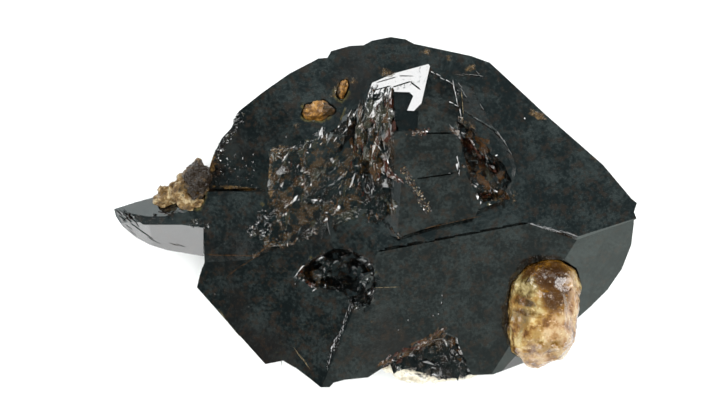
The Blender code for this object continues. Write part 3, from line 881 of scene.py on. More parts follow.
def spots_along(route, width, count):
    """Random places near a line."""
    found = []
    for _ in range(count):
        start, end = draw.choice(list(zip(route, route[1:])))
        spot = Vector(start).lerp(Vector(end), draw.random())
        found.append((spot.x + draw.uniform(-width, width) / 2,
                      spot.y + draw.uniform(-width, width) / 2))
    return found


RUST_PATCH = 2.4          # size of a patch of rust, in millimetres
RUST_SLICE = 5.0          # level at which the patches' noise is read
RUST_LEVEL = -0.15        # the noise goes from -1 to 1, and is rusty above this


def scatter(spots, across, along, deep, lean, tones, turns, facing=None, patchy=True, **shape):
    """One chip at every spot.

    Across and along are ranges, and deep is a share of across.  Turns are the middle of the
    angles at which the chips lie, and how far they stray from it.
    """
    batch = new_batch()
    middle, stray = turns
    for x, y in spots:
        wide = draw.uniform(*across)
        size = (wide, draw.uniform(*along), wide * deep)
        way = leaning(x, y, lean, facing)
        turn = draw.uniform(middle - stray, middle + stray)
        rusty = noise.noise(Vector((x, y, RUST_SLICE)) / RUST_PATCH) > RUST_LEVEL
        tone = draw.choice(tones) if rusty or not patchy else BLACK
        chip(batch, x, y, way, size, turn, tone, sides=draw.choice(CHIP_SIDES), **shape)
    keep(batch)


# %% What crowds have in common
def mirroring(way):
    """The way a facet faces to mirror what stands that way into the camera."""
    return (towards(*way) + UP).normalized()


ANY_TURN = (0, 180)
CREST_FACING = mirroring(CREST_WAY)
LEFT_WAY = (42, 195)
PLAIN = {}                # the last column of the tables: what is special about a crowd
LEVEL = {"facing": UP}
ALL_RUST = {"patchy": False}
LEVEL_RUST = {"facing": UP, "patchy": False}
STANDING = {"rise": 0.8, "tip": 0.4}


def crowds(rows):
    """Scatter a crowd for every row, over an outline where the band has no width."""
    before = len(chip_meshes)
    for place, width, count, across, along, deep, lean, tones, turns, special in rows:
        spots = spots_along(place, width, count) if width else spots_in(place, count)
        scatter(spots, across, along, deep, lean, tones, turns, **special)
    made = sum(len(mesh.polygons) for mesh in chip_meshes[before:])
    print("crowds:", len(rows), "with", made, "faces")


# %% Chips in broken places
NOTCH_RIGHT = [(10.3, -16.9), (11.3, -19.2), (12.3, -21.4)]
NOTCH_LEFT = [(9.0, -15.9), (6.8, -17.3), (4.8, -18.4), (1.4, -20.0)]
PLACE_CROWDS = [    # place, band's width, count, across, along, deep, lean, tones, turns, rest
    # the shattered block
    (BLOCK, 0, 44, (1.6, 3.2), (2.6, 4.8), 0.10, 6, [BLACK], (-15, 25), PLAIN),
    (BLOCK, 0, 130, (0.4, 1.0), (1.0, 2.6), 0.19, 7, DARK, (-15, 18), PLAIN),
    (BLOCK, 0, 240, (0.12, 0.40), (0.4, 1.3), 0.15, 9, MIXED, (-12, 20), PLAIN),
    # the column of splinters
    (SPLINTERS, 0, 60, (0.7, 1.4), (1.6, 3.6), 0.17, 8, MIXED, (-8, 16), PLAIN),
    (SPLINTERS, 0, 170, (0.15, 0.4), (0.6, 2.0), 0.38, 15, RUSTY, (-8, 18), PLAIN),
    # the foot below it
    (FOOT, 0, 24, (0.9, 1.8), (1.6, 3.4), 0.10, 5, [BLACK], (0, 30), PLAIN),
    (FOOT, 0, 34, (0.15, 0.4), (0.4, 1.4), 0.25, 12, MIXED, (0, 20), PLAIN),
    # below the crest
    (CREST_FOOT, 0, 50, (0.2, 0.6), (0.5, 1.5), 0.35, 7, [BLACK],
     (-20, 20), dict(facing=CREST_FACING, tip=0.7)),
    (CREST_FOOT, 0, 40, (0.12, 0.35), (0.4, 1.2), 0.60, 12, [BLACK, OLIVE, BROWN],
     (-10, 16), PLAIN),
    # the bruise and the etched patch
    (BRUISE, 0, 100, (0.3, 0.7), (0.3, 0.9), 0.32, 20, DARK, ANY_TURN, PLAIN),
    (ETCHED, 0, 75, (0.12, 0.4), (0.15, 0.5), 0.32, 13, [BLACK], (0, 8), PLAIN),
    # the pit
    (PIT, 0, 36, (0.8, 1.8), (0.8, 2.0), 0.18, 8, [BLACK], ANY_TURN, PLAIN),
    (PIT, 0, 30, (0.3, 0.7), (0.3, 0.8), 0.30, 16, DARK, ANY_TURN, PLAIN),
    (BLOCKS, 0, 22, (0.8, 1.5), (0.9, 1.9), 1.10, 6, [BLACK],
     (20, 30), dict(facing=mirroring(LEFT_WAY), rise=0.8, tip=0.8)),
    # the broken bay
    (NOTCH_FLOOR, 0, 110, (0.9, 2.0), (1.4, 3.0), 0.13, 4, [BLACK], (0, 30), LEVEL),
    (NOTCH_FLOOR, 0, 44, (0.2, 0.5), (0.3, 1.2), 0.22, 9, DARK, (0, 60), LEVEL),
    # the rusty end of the block
    (BROWN_END, 0, 90, (0.3, 0.8), (0.4, 1.3), 0.20, 6, CLAYEY, (30, 40), ALL_RUST),
    (NOTCH_RIGHT, 0.7, 34, (0.6, 1.2), (1.0, 2.0), 0.13, 4, [BLACK, BLACK, BROWN], (14, 12), LEVEL),
    (NOTCH_LEFT, 1.0, 60, (0.5, 1.1), (0.8, 1.8), 0.13, 4, [BROWN, RED, BROWN, BLACK],
     (-50, 15), LEVEL_RUST),
    # the cavity
    (CAVITY, 0, 50, (1.0, 2.2), (1.4, 3.0), 0.20, 9, DARK + [BROWN], (30, 30), PLAIN),
    (CAVITY, 0, 46, (0.2, 0.5), (0.4, 1.2), 0.38, 16, MIXED, (35, 25), PLAIN),
]
crowds(PLACE_CROWDS)

# %% Lines that chips follow
PIT_LEFT = [(-10.2, -8.4), (-9.2, -7.1)]
PIT_BELOW = [(-10.0, -8.6), (-7.6, -10.1)]
PIT_RIGHT = [(-1.2, -6.6), (-0.6, -9.8), (-1.2, -12.0)]
SLOT_BAND = [(11.9, 9.4), (14.2, 7.2), (16.2, 5.3)]
SLOT_END = [(10.2, 11.0), (11.7, 9.6)]
SLOT_FOOT = [(14.4, 2.2), (17.6, 2.0)]
SLOT_TOP = [(10.9, 12.4), (13.3, 10.6)]
GLITTER = [(3.8, 5.6), (5.4, 3.0), (7.2, 0.3)]
STEP_CORNER = [(0.9, -0.9), (3.4, -3.3)]
RED_FLAKE = [(1.7, 5.4), (3.3, 4.1)]
CHIPPED_EDGE = [(-3.0, -12.4), (-3.7, -14.5), (-4.9, -17.6), (-5.8, -18.5), (-6.3, -21.2)]
LEFT_RIM = [(-20.9, 7.2), (-20.0, 9.2), (-18.6, 10.9), (-17.6, 12.7)]
BLADE_BITE = [(-29.3, -0.4), (-27.0, -1.2)]
SECOND_BITE = [(-24.6, -1.3), (-22.4, -1.7)]
HOLE_SIDE = [(2.4, 15.4), (2.3, 12.6)]
BLOCK_FOOT = [(-12.4, -3.0), (-9.8, -2.6), (-6.0, -1.2)]
BLOCK_LEFT = [(-13.3, 7.6), (-13.2, 4.0), (-12.9, 0.4)]
BLOCK_TOP = [(-13.6, 7.8), (-11.4, 8.3), (-9.0, 8.2)]
ORANGE_SPOT = [(-7.6, 9.0), (-6.6, 9.2)]
RED_SPOT = [(-2.3, 3.6), (-1.4, 2.4)]
OLIVE_SPOTS = [(-9.2, 5.2), (-6.8, 5.0)]
OLIVE_FOOT = [(-7.6, -1.4), (-4.4, -0.6), (-1.2, 0.6)]
BROWN_FOOT = [(0.9, 1.9), (2.8, 0.4)]
RED_CORNER = [(4.6, 10.4), (6.9, 10.6)]
BROWN_DOT = [(10.8, 16.2), (11.1, 15.0)]

# %% Chips along lines
LINE_CROWDS = [
    # round the pit
    (PIT_LEFT, 0.3, 12, (0.2, 0.4), (0.5, 1.0), 1.2, 16, [BLACK, BLACK, RED], (-34, 10), PLAIN),
    (PIT_BELOW, 0.3, 18, (0.2, 0.4), (0.6, 1.2), 1.2, 16, REDDISH, (55, 12), PLAIN),
    (PIT_RIGHT, 0.8, 44, (0.2, 0.5), (0.2, 0.7), 0.6, 26, DARK, ANY_TURN, PLAIN),
    # the slot
    (SLOT_BAND, 0.7, 50, (0.35, 0.7), (0.9, 2.2), 4.5, 8, REDDISH, (47, 10), STANDING),
    (SLOT_END, 0.6, 16, (0.35, 0.7), (0.9, 1.8), 0.6, 8, REDDISH, (47, 10), PLAIN),
    (SLOT_FOOT, 0.5, 26, (0.3, 0.6), (0.3, 0.7), 4.0, 12, [BROWN, OLIVE, RED],
     ANY_TURN, dict(rise=0.8, tip=0.4, patchy=False)),
    # the steps
    (GLITTER, 0.9, 240, (0.15, 0.35), (0.2, 0.5), 0.6, 26, GOLDEN, ANY_TURN, ALL_RUST),
    (STEP_CORNER, 0.5, 50, (0.12, 0.3), (0.3, 0.8), 0.8, 24, RUSTY, (45, 25), PLAIN),
    (RED_FLAKE, 0.7, 34, (0.3, 0.6), (0.6, 1.3), 0.28, 8, [RED, RED, BROWN], (52, 12), ALL_RUST),
    # the bay's edge
    (NOTCH_LEFT, 0.9, 70, (0.2, 0.5), (0.4, 1.3), 0.35, 14, [BROWN, RED, BLACK],
     (-50, 20), LEVEL_RUST),
    # rust round the block
    (BLOCK_LEFT, 0.8, 50, (0.2, 0.5), (0.4, 1.4), 0.35, 14, CLAYEY, (-4, 14), ALL_RUST),
    (BLOCK_TOP, 0.7, 36, (0.2, 0.5), (0.3, 0.9), 0.35, 12, [BROWN, OLIVE, OLIVE, BLACK],
     (-60, 30), ALL_RUST),
    (ORANGE_SPOT, 0.8, 18, (0.2, 0.5), (0.4, 1.0), 0.40, 14, [BROWN, RED, CREAM],
     (-10, 20), ALL_RUST),
    (RED_SPOT, 0.7, 18, (0.2, 0.5), (0.5, 1.3), 0.40, 12, [RED, BROWN], (-15, 15), ALL_RUST),
    # olive and brown parts of the block and its foot
    (OLIVE_SPOTS, 1.0, 34, (0.3, 0.7), (0.6, 1.6), 0.25, 9, GREENISH, (-60, 25), ALL_RUST),
    (OLIVE_FOOT, 0.9, 60, (0.5, 1.1), (0.9, 2.0), 0.16, 6, GREENISH, (-62, 14), ALL_RUST),
    (BROWN_FOOT, 1.0, 22, (0.3, 0.8), (0.5, 1.4), 0.30, 9, [BROWN, OLIVE, BLACK],
     (20, 30), ALL_RUST),
    # chipped edges
    (CHIPPED_EDGE, 0.3, 60, (0.12, 0.3), (0.3, 0.9), 0.8, 26, [BLACK], (-18, 14), PLAIN),
    (LEFT_RIM, 0.9, 60, (0.3, 1.1), (0.3, 1.0), 0.5, 18, [BLACK] * 4 + [OLIVE], ANY_TURN, PLAIN),
    (BLADE_BITE, 0.5, 30, (0.2, 0.5), (0.2, 0.6), 0.7, 30, [BLACK], ANY_TURN, PLAIN),
    (SECOND_BITE, 1.0, 36, (0.2, 0.6), (0.2, 0.6), 0.6, 26, [BLACK, BLACK, OLIVE], ANY_TURN, PLAIN),
    (HOLE_SIDE, 0.4, 10, (0.4, 0.7), (1.6, 2.6), 1.5, 8, REDDISH, (-4, 5), dict(rise=0.6, tip=0.5)),
    # small spots
    (RED_CORNER, 0.7, 40, (0.2, 0.5), (0.3, 0.7), 0.4, 14, [RED, BROWN], (80, 20), ALL_RUST),
    (SLOT_TOP, 0.5, 22, (0.2, 0.5), (0.3, 0.7), 0.7, 18, [BROWN, OLIVE, BLACK], ANY_TURN, PLAIN),
    (BROWN_DOT, 0.3, 8, (0.2, 0.4), (0.3, 0.5), 0.6, 18, [BROWN], ANY_TURN, PLAIN),
    # the block's foot
    (BLOCK_FOOT, 1.2, 90, (0.2, 0.6), (0.3, 0.9), 0.6, 22, MIXED + [BROWN], ANY_TURN, PLAIN),
]
crowds(LINE_CROWDS)

# %% [markdown]
# A few facets are turned so that they mirror a lamp straight into the camera.  Halfway between
# the way up and the way to the lamp is the way such a facet has to face.  Brightness could be
# painted on instead, but a painted glint doesn't go out when the group is turned.

# %% Glints
GLINT_DEPTH = 0.3
WHITE_GLINTS = [    # place, across, along and turn
    (9.1, -11.1, 0.12, 0.20, 10), (9.0, -12.1, 0.10, 0.30, 0), (8.6, -13.6, 0.14, 0.14, 0),
    (7.9, -13.8, 0.12, 0.12, 0), (4.6, -14.4, 0.14, 0.20, 20), (3.3, -15.7, 0.16, 0.12, 0),
    (-28.6, -0.8, 0.16, 0.5, -60), (20.1, 12.4, 0.25, 0.35, 20), (-5.5, -18.0, 0.30, 0.7, -25),
    (-7.9, -10.4, 0.16, 0.8, -55), (-6.4, -9.8, 0.14, 0.5, 20), (-10.4, 0.8, 0.26, 0.35, 20),
    (-9.9, 1.6, 0.10, 0.4, 0), (-5.3, 6.6, 0.20, 0.6, -30), (-11.6, 9.9, 0.14, 0.22, 0),
    (-17.4, 7.1, 0.10, 0.4, 0), (-16.0, 7.6, 0.12, 0.3, -40), (-16.0, 6.6, 0.10, 0.4, 0),
    (-15.9, 5.5, 0.12, 0.2, 0), (-18.4, 5.7, 0.08, 0.4, 80), (-14.3, 0.1, 0.14, 0.3, 30),
    (-15.5, -1.7, 0.24, 0.12, 0), (-16.7, -2.7, 0.12, 0.3, 60), (-14.6, -3.2, 0.10, 0.8, 80),
    (-13.7, -1.7, 0.14, 0.25, 0), (-1.0, -7.3, 0.16, 0.3, 0), (-0.8, -9.3, 0.10, 0.4, 10),
    (-23.0, -7.8, 0.10, 0.9, -14), (-22.7, -6.6, 0.07, 0.6, -14), (-31.9, -0.6, 0.5, 0.7, -60),
    (-21.2, -11.0, 0.07, 0.12, 0), (-16.6, -12.7, 0.08, 0.1, 0), (-10.4, -9.6, 0.08, 0.2, 0),
    (-22.9, 2.2, 0.12, 0.3, -40), (-8.2, -10.0, 0.2, 0.3, 40), (2.3, 11.8, 0.12, 0.3, 0),
]

white = new_batch()
for x, y, across, along, turn in WHITE_GLINTS:
    chip(white, x, y, CREST_FACING, (across, along, GLINT_DEPTH), turn, BLACK,
         sides=draw.choice(CHIP_SIDES), rise=0.55, tip=0.7, even=True)
keep(white)
print("glints:", len(WHITE_GLINTS))

# %% [markdown]
# Worn edges catch a lamp along their whole length.  A bevel would round them all alike, so short
# flat facets follow each line instead, and overlap so that it has no gaps.  The same facets, laid
# on the ground in a paler tone, are scratches.  One flat plate makes the dark wedge on the blade.

# %% Lines of facets
FACET_LENGTH = 0.8        # about one facet of a line, in millimetres
FACET_OVERLAP = 2.1       # how much longer it is made
FACET_WIDTHS = (0.7, 1.2)     # range of its width, as a share of the line's
FACET_STRAY = 0.04        # how far it strays off the line
FACET_DEPTH = 0.06
FACET_DEEPER = 0.4        # share of the line's width that is added to the depth


def line_of_facets(batch, start, end, width, tone, facing=None, stray=0.0):
    """Short flat facets along a line, laid on the ground or turned towards a lamp."""
    start, end = Vector(start), Vector(end)
    length = (end - start).length
    pieces = max(1, round(length / FACET_LENGTH))
    turn = degrees(atan2(start.x - end.x, end.y - start.y))
    for number in range(pieces):
        spot = start.lerp(end, (number + 0.5) / pieces)
        spot += Vector((draw.gauss(0, FACET_STRAY), draw.gauss(0, FACET_STRAY)))
        point, normal = ground_at(spot.x, spot.y)
        if point is not None:
            way = leaning(spot.x, spot.y, stray, facing) if facing else normal
            size = (width * draw.uniform(*FACET_WIDTHS), FACET_OVERLAP * length / pieces,
                    FACET_DEPTH + FACET_DEEPER * width)
            chip(batch, spot.x, spot.y, way, size, turn, tone, sides=4, rise=0.6, tip=0.8,
                 even=True)


# %% Worn edges
BACK_FACING = mirroring((86, 127))      # the palest of the horizon
FRONT_FACING = mirroring((72, 243))     # beside the blade's lamp
WORN = [    # start, end, width and how far the facets stray from the lamp, in degrees
    (CREST_FACING, [
        ((-3.2, 13.1), (-5.1, 9.5), 0.22, 3), ((-3.6, 12.6), (-4.6, 10.8), 0.80, 5),
        ((-2.3, 11.9), (-3.1, 7.2), 0.12, 4), ((-0.5, 5.4), (-0.3, 2.5), 0.13, 6),
        ((-0.2, 9.6), (0.8, 8.3), 0.14, 5), ((7.2, 18.6), (10.4, 16.7), 0.10, 4),
        ((10.4, 16.9), (11.3, 12.9), 0.10, 4), ((9.6, 14.5), (10.9, 13.9), 0.13, 4),
        ((10.8, 7.6), (11.15, 6.2), 0.14, 1), ((11.0, 6.6), (11.2, 5.3), 0.32, 1),
        ((-10.4, -8.4), (-9.3, -7.0), 0.18, 2), ((-9.9, -8.7), (-8.0, -9.9), 0.08, 4),
    ]),
    (BACK_FACING, [
        ((-28.4, 0.1), (-25.0, 0.3), 0.9, 1), ((-27.6, 0.7), (-24.0, 0.8), 0.6, 1),
    ]),
    (FRONT_FACING, [
        ((-34.2, -0.1), (-33.3, -1.5), 0.45, 1), ((-33.7, 0.0), (-32.5, -1.6), 0.45, 1),
        ((-33.1, 0.0), (-31.8, -1.7), 0.45, 1),
    ]),
    (UP, [
        ((-32.5, -1.5), (-30.1, -3.3), 0.13, 2),
        ((-30.0, -3.6), (-28.9, -4.1), 0.05, 3), ((-26.8, -4.4), (-24.9, -4.7), 0.05, 3),
        ((-33.4, -1.5), (-32.3, -2.9), 0.05, 3),
    ]),
    (mirroring(BLADE_WAY), [
        ((-33.1, -0.1), (-32.5, -0.5), 0.5, 1),
        ((-3.4, -12.6), (-4.1, -15.0), 0.16, 0.5), ((-4.1, -15.0), (-5.2, -17.2), 0.22, 0.5),
        ((-4.9, -16.6), (-5.6, -18.1), 0.40, 0.5), ((-5.2, -17.2), (-6.2, -20.5), 0.12, 2),
        ((11.9, 13.4), (13.9, 12.1), 0.26, 0.5),
        ((13.9, 12.1), (16.0, 10.9), 0.36, 0.5), ((16.0, 10.9), (17.4, 9.2), 0.28, 0.5),
        ((17.4, 9.2), (18.4, 7.3), 0.08, 2), ((10.5, 18.4), (14.0, 18.2), 0.06, 3),
        ((14.0, 18.2), (14.6, 17.4), 0.06, 4), ((-3.1, 6.6), (-4.9, 2.5), 0.10, 5),
        ((-9.0, 8.2), (-9.1, 3.0), 0.06, 6), ((-0.3, 5.4), (0.0, 2.6), 0.12, 5),
        ((1.3, 9.0), (1.9, 6.2), 0.14, 7), ((11.4, 16.8), (12.9, 14.2), 0.10, 5),
        ((13.0, 16.6), (15.0, 12.6), 0.07, 5), ((20.7, -1.5), (26.8, -3.1), 0.20, 1),
        ((-4.2, -6.0), (-2.6, -6.1), 0.30, 8), ((9.5, -18.4), (10.4, -20.6), 0.30, 6),
    ]),
]

worn = new_batch()
for facing, lines in WORN:
    for start, end, width, stray in lines:
        line_of_facets(worn, start, end, width, BLACK, facing, stray)
print("faces on worn edges:", len(worn.faces))

# %% The dark wedge
DARK_WEDGE = [(-32.6, -0.15), (-30.8, -1.7), (-25.8, -1.7), (-27.6, -0.55), (-30.1, -0.6)]
WEDGE_FACING = (BACK_FACING + UP * 2.0).normalized()
WEDGE_DEPTH = 2.0
WEDGE_CLEAR = 0.05        # how far it stands clear of the ground, in millimetres


def plate(batch, outline, facing, depth):
    """One flat dark facet with a drawn outline, just clear of the ground under its corners."""
    corners = [ground_at(x, y)[0] for x, y in outline]
    reach = max(corner.dot(facing) for corner in corners if corner is not None) + WEDGE_CLEAR
    prism = bmesh.ops.create_cone(batch, cap_ends=True, segments=len(outline), radius1=1.0,
                                  radius2=1.0, depth=2.0)["verts"]
    for drop, level in ((0.0, 1), (depth, -1)):
        ring = [vert for vert in prism if vert.co.z * level > 0]
        ring.sort(key=lambda vert: atan2(vert.co.y, vert.co.x))
        for vert, (x, y) in zip(ring, outline):
            vert.co = (x, y, (reach - x * facing.x - y * facing.y) / facing.z - drop)
    broken = batch.verts.layers.float["broken"]
    for vert in prism:
        vert[broken] = 1.0


plate(worn, DARK_WEDGE, WEDGE_FACING, WEDGE_DEPTH)
keep(worn)

# %% Scratches
SCRATCHES = [    # start, end, width and tone
    ((-20.6, -13.4), (-17.2, -17.8), 0.09, CREAM), ((-17.2, -17.6), (-15.1, -20.5), 0.09, CREAM),
    ((-13.9, -7.1), (-12.8, -7.7), 0.09, OLIVE), ((-10.5, -18.3), (-8.7, -20.5), 0.05, CREAM),
    ((-19.3, -8.3), (-15.6, -5.9), 0.10, BROWN), ((-22.0, -5.7), (-15.7, -5.8), 0.12, BROWN),
    ((-15.7, -5.8), (-13.3, -3.7), 0.20, BROWN), ((0.6, -9.95), (2.9, -9.95), 0.07, CREAM),
    ((-20.6, -13.2), (-14.9, -20.6), 0.12, OLIVE), ((10.8, -16.9), (12.4, -21.8), 0.20, BROWN),
    ((0.2, -21.3), (4.3, -19.8), 0.12, BROWN), ((-8.9, 8.2), (-9.0, 3.0), 0.10, OLIVE),
    ((-3.1, 6.6), (-4.9, 2.4), 0.14, CREAM), ((-1.9, 4.0), (-2.1, 1.6), 0.12, BROWN),
    ((10.6, 16.8), (11.5, 15.4), 0.10, CREAM), ((11.5, 15.4), (11.7, 12.6), 0.10, CREAM),
    ((10.6, 18.3), (14.1, 18.2), 0.10, OLIVE), ((7.3, -2.0), (13.8, -0.6), 0.10, BROWN),
]
SMALL_SCRATCHES = 46
SMALL_WIDTH = 0.06
SMALL_LENGTHS = (0.2, 0.9)
SCRATCHED = [(-22.0, -6.5), (-3.5, -4.5), (-2.0, -12.0), (-7.0, -21.0), (-14.0, -19.0)]

scratches = new_batch()
for start, end, width, tone in SCRATCHES:
    line_of_facets(scratches, start, end, width, tone)
for x, y in spots_in(SCRATCHED, SMALL_SCRATCHES):
    way = Vector((draw.gauss(0, 1), draw.gauss(0, 0.7))).normalized()
    way *= draw.uniform(*SMALL_LENGTHS)
    line_of_facets(scratches, (x, y), (x + way.x, y + way.y), SMALL_WIDTH, OLIVE)
keep(scratches)
print("scratches:", len(SCRATCHES) + SMALL_SCRATCHES)

# %% Join the chips to the titanite
for mesh in chip_meshes:
    titanite.from_mesh(mesh)
    bpy.data.meshes.remove(mesh)
print("with chips:", len(titanite.faces), "faces")

# %% [markdown]
# ## Titanite's finish
#
# Titanite bends light strongly, almost as diamond does, so its mirror is about twice as bright
# as glass.  It could be glass with a dark tint, but so little light gets through a crystal this
# thick that an opaque, almost black body looks the same, with a faint haze where the polish is
# etched.  The chips take their tone from the number they were given, and the films cover what
# they lie on.

# %% Colours of the titanite
TITANITE_IOR = 1.95
BODY = (0.0010, 0.0012, 0.0012)
HAZE = (0.0155, 0.0190, 0.0180)
BROWN_CLOUD = (0.0075, 0.0042, 0.0032)
BROWN_FLECK = (0.0145, 0.0078, 0.0042)
RUST_BROWN = (0.036, 0.019, 0.006)
VEIL_BROWN = (0.013, 0.0072, 0.0032)
# painted light: amber of light shining through the thin rim, over the thin titanite's own brown
RIM_SHINE_AMBER = (0.070, 0.055, 0.012)
CRUST_STOPS = [(0.35, (0.022, 0.011, 0.004)), (0.5, (0.062, 0.034, 0.010)),
               (0.65, (0.115, 0.068, 0.022))]
# the red tone is partly the titanite's own red-brown and partly painted light shining through thin
# splinters
TONE_STOPS = [(BLACK, BODY), (RED, (0.042, 0.011, 0.005)), (BROWN, (0.055, 0.026, 0.009)),
              (OLIVE, (0.024, 0.022, 0.013)), (CREAM, (0.22, 0.17, 0.095))]


def painted(tree, label):
    """A number that was painted at the vertices."""
    return Wire.add(tree, "ShaderNodeAttribute", {"attribute_name": label}, out=2)


# %% Titanite finish
POLISH = 0.10             # roughness of a clean face
TITANITE_RELIEF = 0.35    # in millimetres


def titanite_finish():
    made, tree, shader = new_finish("titanite", {"IOR": TITANITE_IOR})
    broken = painted(tree, "broken")
    tone = painted(tree, "tone")
    clouds = mottle(tree, 0.30, 3.0)
    grain = mottle(tree, 2.2, 6.0, 0.70)
    flecks = mottle(tree, 0.9, 5.0, 0.65)
    haze = (clouds * 1.1 + grain * 1.4 - 1.05).step(0.02, 0.50)
    body = grain.ramp((0.0, BODY), (1.0, BODY)).tint(haze * (broken * -0.6 + 1.0), HAZE)
    body = body.tint(mottle(tree, 0.09, 2.0).step(0.50, 0.70) * 0.6, BROWN_CLOUD)
    body = body.tint(flecks.step(0.50, 0.64) * 0.7, BROWN_FLECK)
    rust = flecks.step(0.46, 0.58) * mottle(tree, 0.25, 2.0).step(0.36, 0.52)
    body = body.tint(painted(tree, "rust") * rust * 0.75, RUST_BROWN)
    body = body.tint(tone.step(0.02, 0.15) * grain.step(0.30, 0.60), tone.ramp(*TONE_STOPS))

    veil = (painted(tree, "veil") * 1.2 + flecks * 2.0 - 1.7).step(0.0, 0.9)
    crust = (painted(tree, "crust") * 1.2 + flecks * 1.5 + grain * 0.9 - 1.80).step(0.0, 0.5)
    rim = painted(tree, "rim").step(0.25, 0.85) * grain.step(0.35, 0.60)
    # the rim's amber is painted light shining through the thin edge, partly the titanite's own
    # brown
    colour = body.tint(veil * 0.8, VEIL_BROWN).tint(rim * 0.8, RIM_SHINE_AMBER)
    colour = colour.tint(crust * 0.9, grain.ramp(*CRUST_STOPS))

    rough = POLISH + 0.05 * clouds.step(0.4, 0.7) + 0.03 * broken
    rough = (rough + 0.10 * crust + 0.03 * veil).clip()
    small_facets = facets(tree, 3.2) * (broken * flecks.step(0.50, 0.62))
    ripples = mottle(tree, 0.85, 3.0, 0.5) * painted(tree, "wavy")
    relief = small_facets * 0.15 + grain * (crust * 0.08 + veil * 0.02 + 0.001) + ripples * 0.30
    feed(shader, Base_Color=colour, Roughness=rough, Normal=bump(tree, relief, TITANITE_RELIEF))
    return made


finished(titanite, "titanite_crystals", ["titanite"], titanite_finish())

# %% [markdown]
# ## The fluorapatite
#
# The prism is clear inside but etched outside, so it is both glassy and cloudy.  It is amber and
# brown at its top, greenish cream beside that, and cream, orange and pink below.  It could be
# sculpted by hand.  But etching is even and has no plan, so the copy of the solid is refined,
# swelled a little and dented by noise, and soft patches of colour are painted onto it.

# %% Colour patches of the fluorapatite
AMBER = [(22.8, -8.2, 3.6, 2.6, 0, 1.0), (24.0, -11.0, 2.2, 2.6, 0, 1.0),
         (20.6, -13.4, 2.2, 0.5, -14, 0.9), (21.4, -16.2, 0.8, 1.4, 0, 0.5),
         (23.4, -17.8, 2.0, 0.9, 20, 0.55)]
SMOKE = [(23.4, -8.6, 2.4, 1.7, 10, 0.80), (24.2, -10.9, 1.2, 2.0, 0, 0.65),
         (19.8, -11.9, 1.7, 0.6, -14, 0.85), (19.3, -14.2, 1.3, 1.7, 0, 0.60)]
GREEN = [(19.9, -10.0, 1.7, 1.8, 20, 1.0), (21.0, -12.6, 1.6, 1.4, 0, 0.6),
         (19.8, -16.2, 1.4, 1.4, 0, 0.5)]
PINK = [(25.6, -13.6, 1.9, 5.2, 0, 1.0), (22.2, -20.0, 2.4, 1.6, 0, 0.8),
        (23.6, -15.4, 1.6, 2.0, 0, 0.8)]
PATCHES = (("amber", AMBER), ("smoke", SMOKE), ("green", GREEN), ("pink", PINK))
print("colour patches:", sum(len(patches) for _, patches in PATCHES))

# %% Swelling, denting and flattening
def swell(solid, by):
    """Grow a closed surface along its normals."""
    solid.normal_update()
    moves = [vert.normal * by for vert in solid.verts]
    for vert, move in zip(solid.verts, moves):
        vert.co += move


def dent(solid, depth, size, seed):
    """Push the surface in and out by smooth noise."""
    solid.normal_update()
    shift = Vector((seed, seed, seed))
    moves = [vert.normal * (depth * noise.noise(vert.co / size + shift)) for vert in solid.verts]
    for vert, move in zip(solid.verts, moves):
        vert.co += move


def flatten(solid, x, y, radius, facing):
    """Grind a small flat facet that looks along facing, where the surface looks up."""
    near = [vert for vert in solid.verts if vert.normal.z > 0.5
            and hypot(vert.co.x - x, vert.co.y - y) < radius]
    if near:
        middle = sum((vert.co for vert in near), Vector()) / len(near)
        for vert in near:
            vert.co -= facing * (vert.co - middle).dot(facing)


# %% Fluorapatite finish
APATITE_IOR = 1.63
CLEARNESS = 0.30          # share of the light that goes in
APATITE_RELIEF = 0.32     # in millimetres
CREAM_STOPS = [(0.40, (0.15, 0.062, 0.012)), (0.47, (0.31, 0.165, 0.042)),
               (0.54, (0.46, 0.290, 0.090)), (0.61, (0.66, 0.52, 0.25))]
PINK_STOPS = [(0.40, (0.19, 0.080, 0.032)), (0.50, (0.40, 0.225, 0.100)),
              (0.60, (0.58, 0.42, 0.23))]
AMBER_STOPS = [(0.41, (0.018, 0.005, 0.001)), (0.49, (0.085, 0.032, 0.003)),
               (0.59, (0.26, 0.120, 0.012))]
GREEN_STOPS = [(0.42, (0.040, 0.025, 0.006)), (0.50, (0.120, 0.086, 0.024)),
               (0.60, (0.46, 0.37, 0.17))]
SMOKE_STOPS = [(0.35, (0.014, 0.004, 0.002)), (0.60, (0.040, 0.014, 0.004))]
FROST = (0.60, 0.46, 0.28)


def apatite_finish():
    made, tree, shader = new_finish("fluorapatite", {
        "IOR": APATITE_IOR, "Transmission Weight": CLEARNESS})
    veins = mottle(tree, 0.55, 6.0, 0.65)
    fine = mottle(tree, 1.9, 4.0)

    def patch(label):
        return (painted(tree, label) * 0.8 + veins * 2.2 - 1.35).step(0.0, 0.55)

    colour = veins.ramp(*CREAM_STOPS).tint(patch("pink"), veins.ramp(*PINK_STOPS))
    colour = colour.tint(patch("amber"), veins.ramp(*AMBER_STOPS))
    colour = colour.tint(patch("green") * 0.8, veins.ramp(*GREEN_STOPS))
    colour = colour.tint(patch("smoke") * 0.9, veins.ramp(*SMOKE_STOPS))
    colour = colour.tint(fine.step(0.62, 0.74) * 0.4, FROST)
    rough = 0.07 + 0.22 * fine.step(0.50, 0.68)
    relief = facets(tree, 0.55) * 0.6 + veins * 0.5 + fine * 0.1
    feed(shader, Base_Color=colour, Roughness=rough, Normal=bump(tree, relief, APATITE_RELIEF))
    return made


# %% The fluorapatite prism
APATITE_NET = 0.42
APATITE_GROWTH = 0.09
APATITE_DENTS = [(0.30, 1.7, 3.0), (0.14, 0.7, 8.0)]      # depth, size and seed
MIRRORS = [(25.0, -9.5, 1.2), (22.0, -10.9, 0.6), (21.9, -17.6, 0.6), (24.0, -17.8, 0.7)]

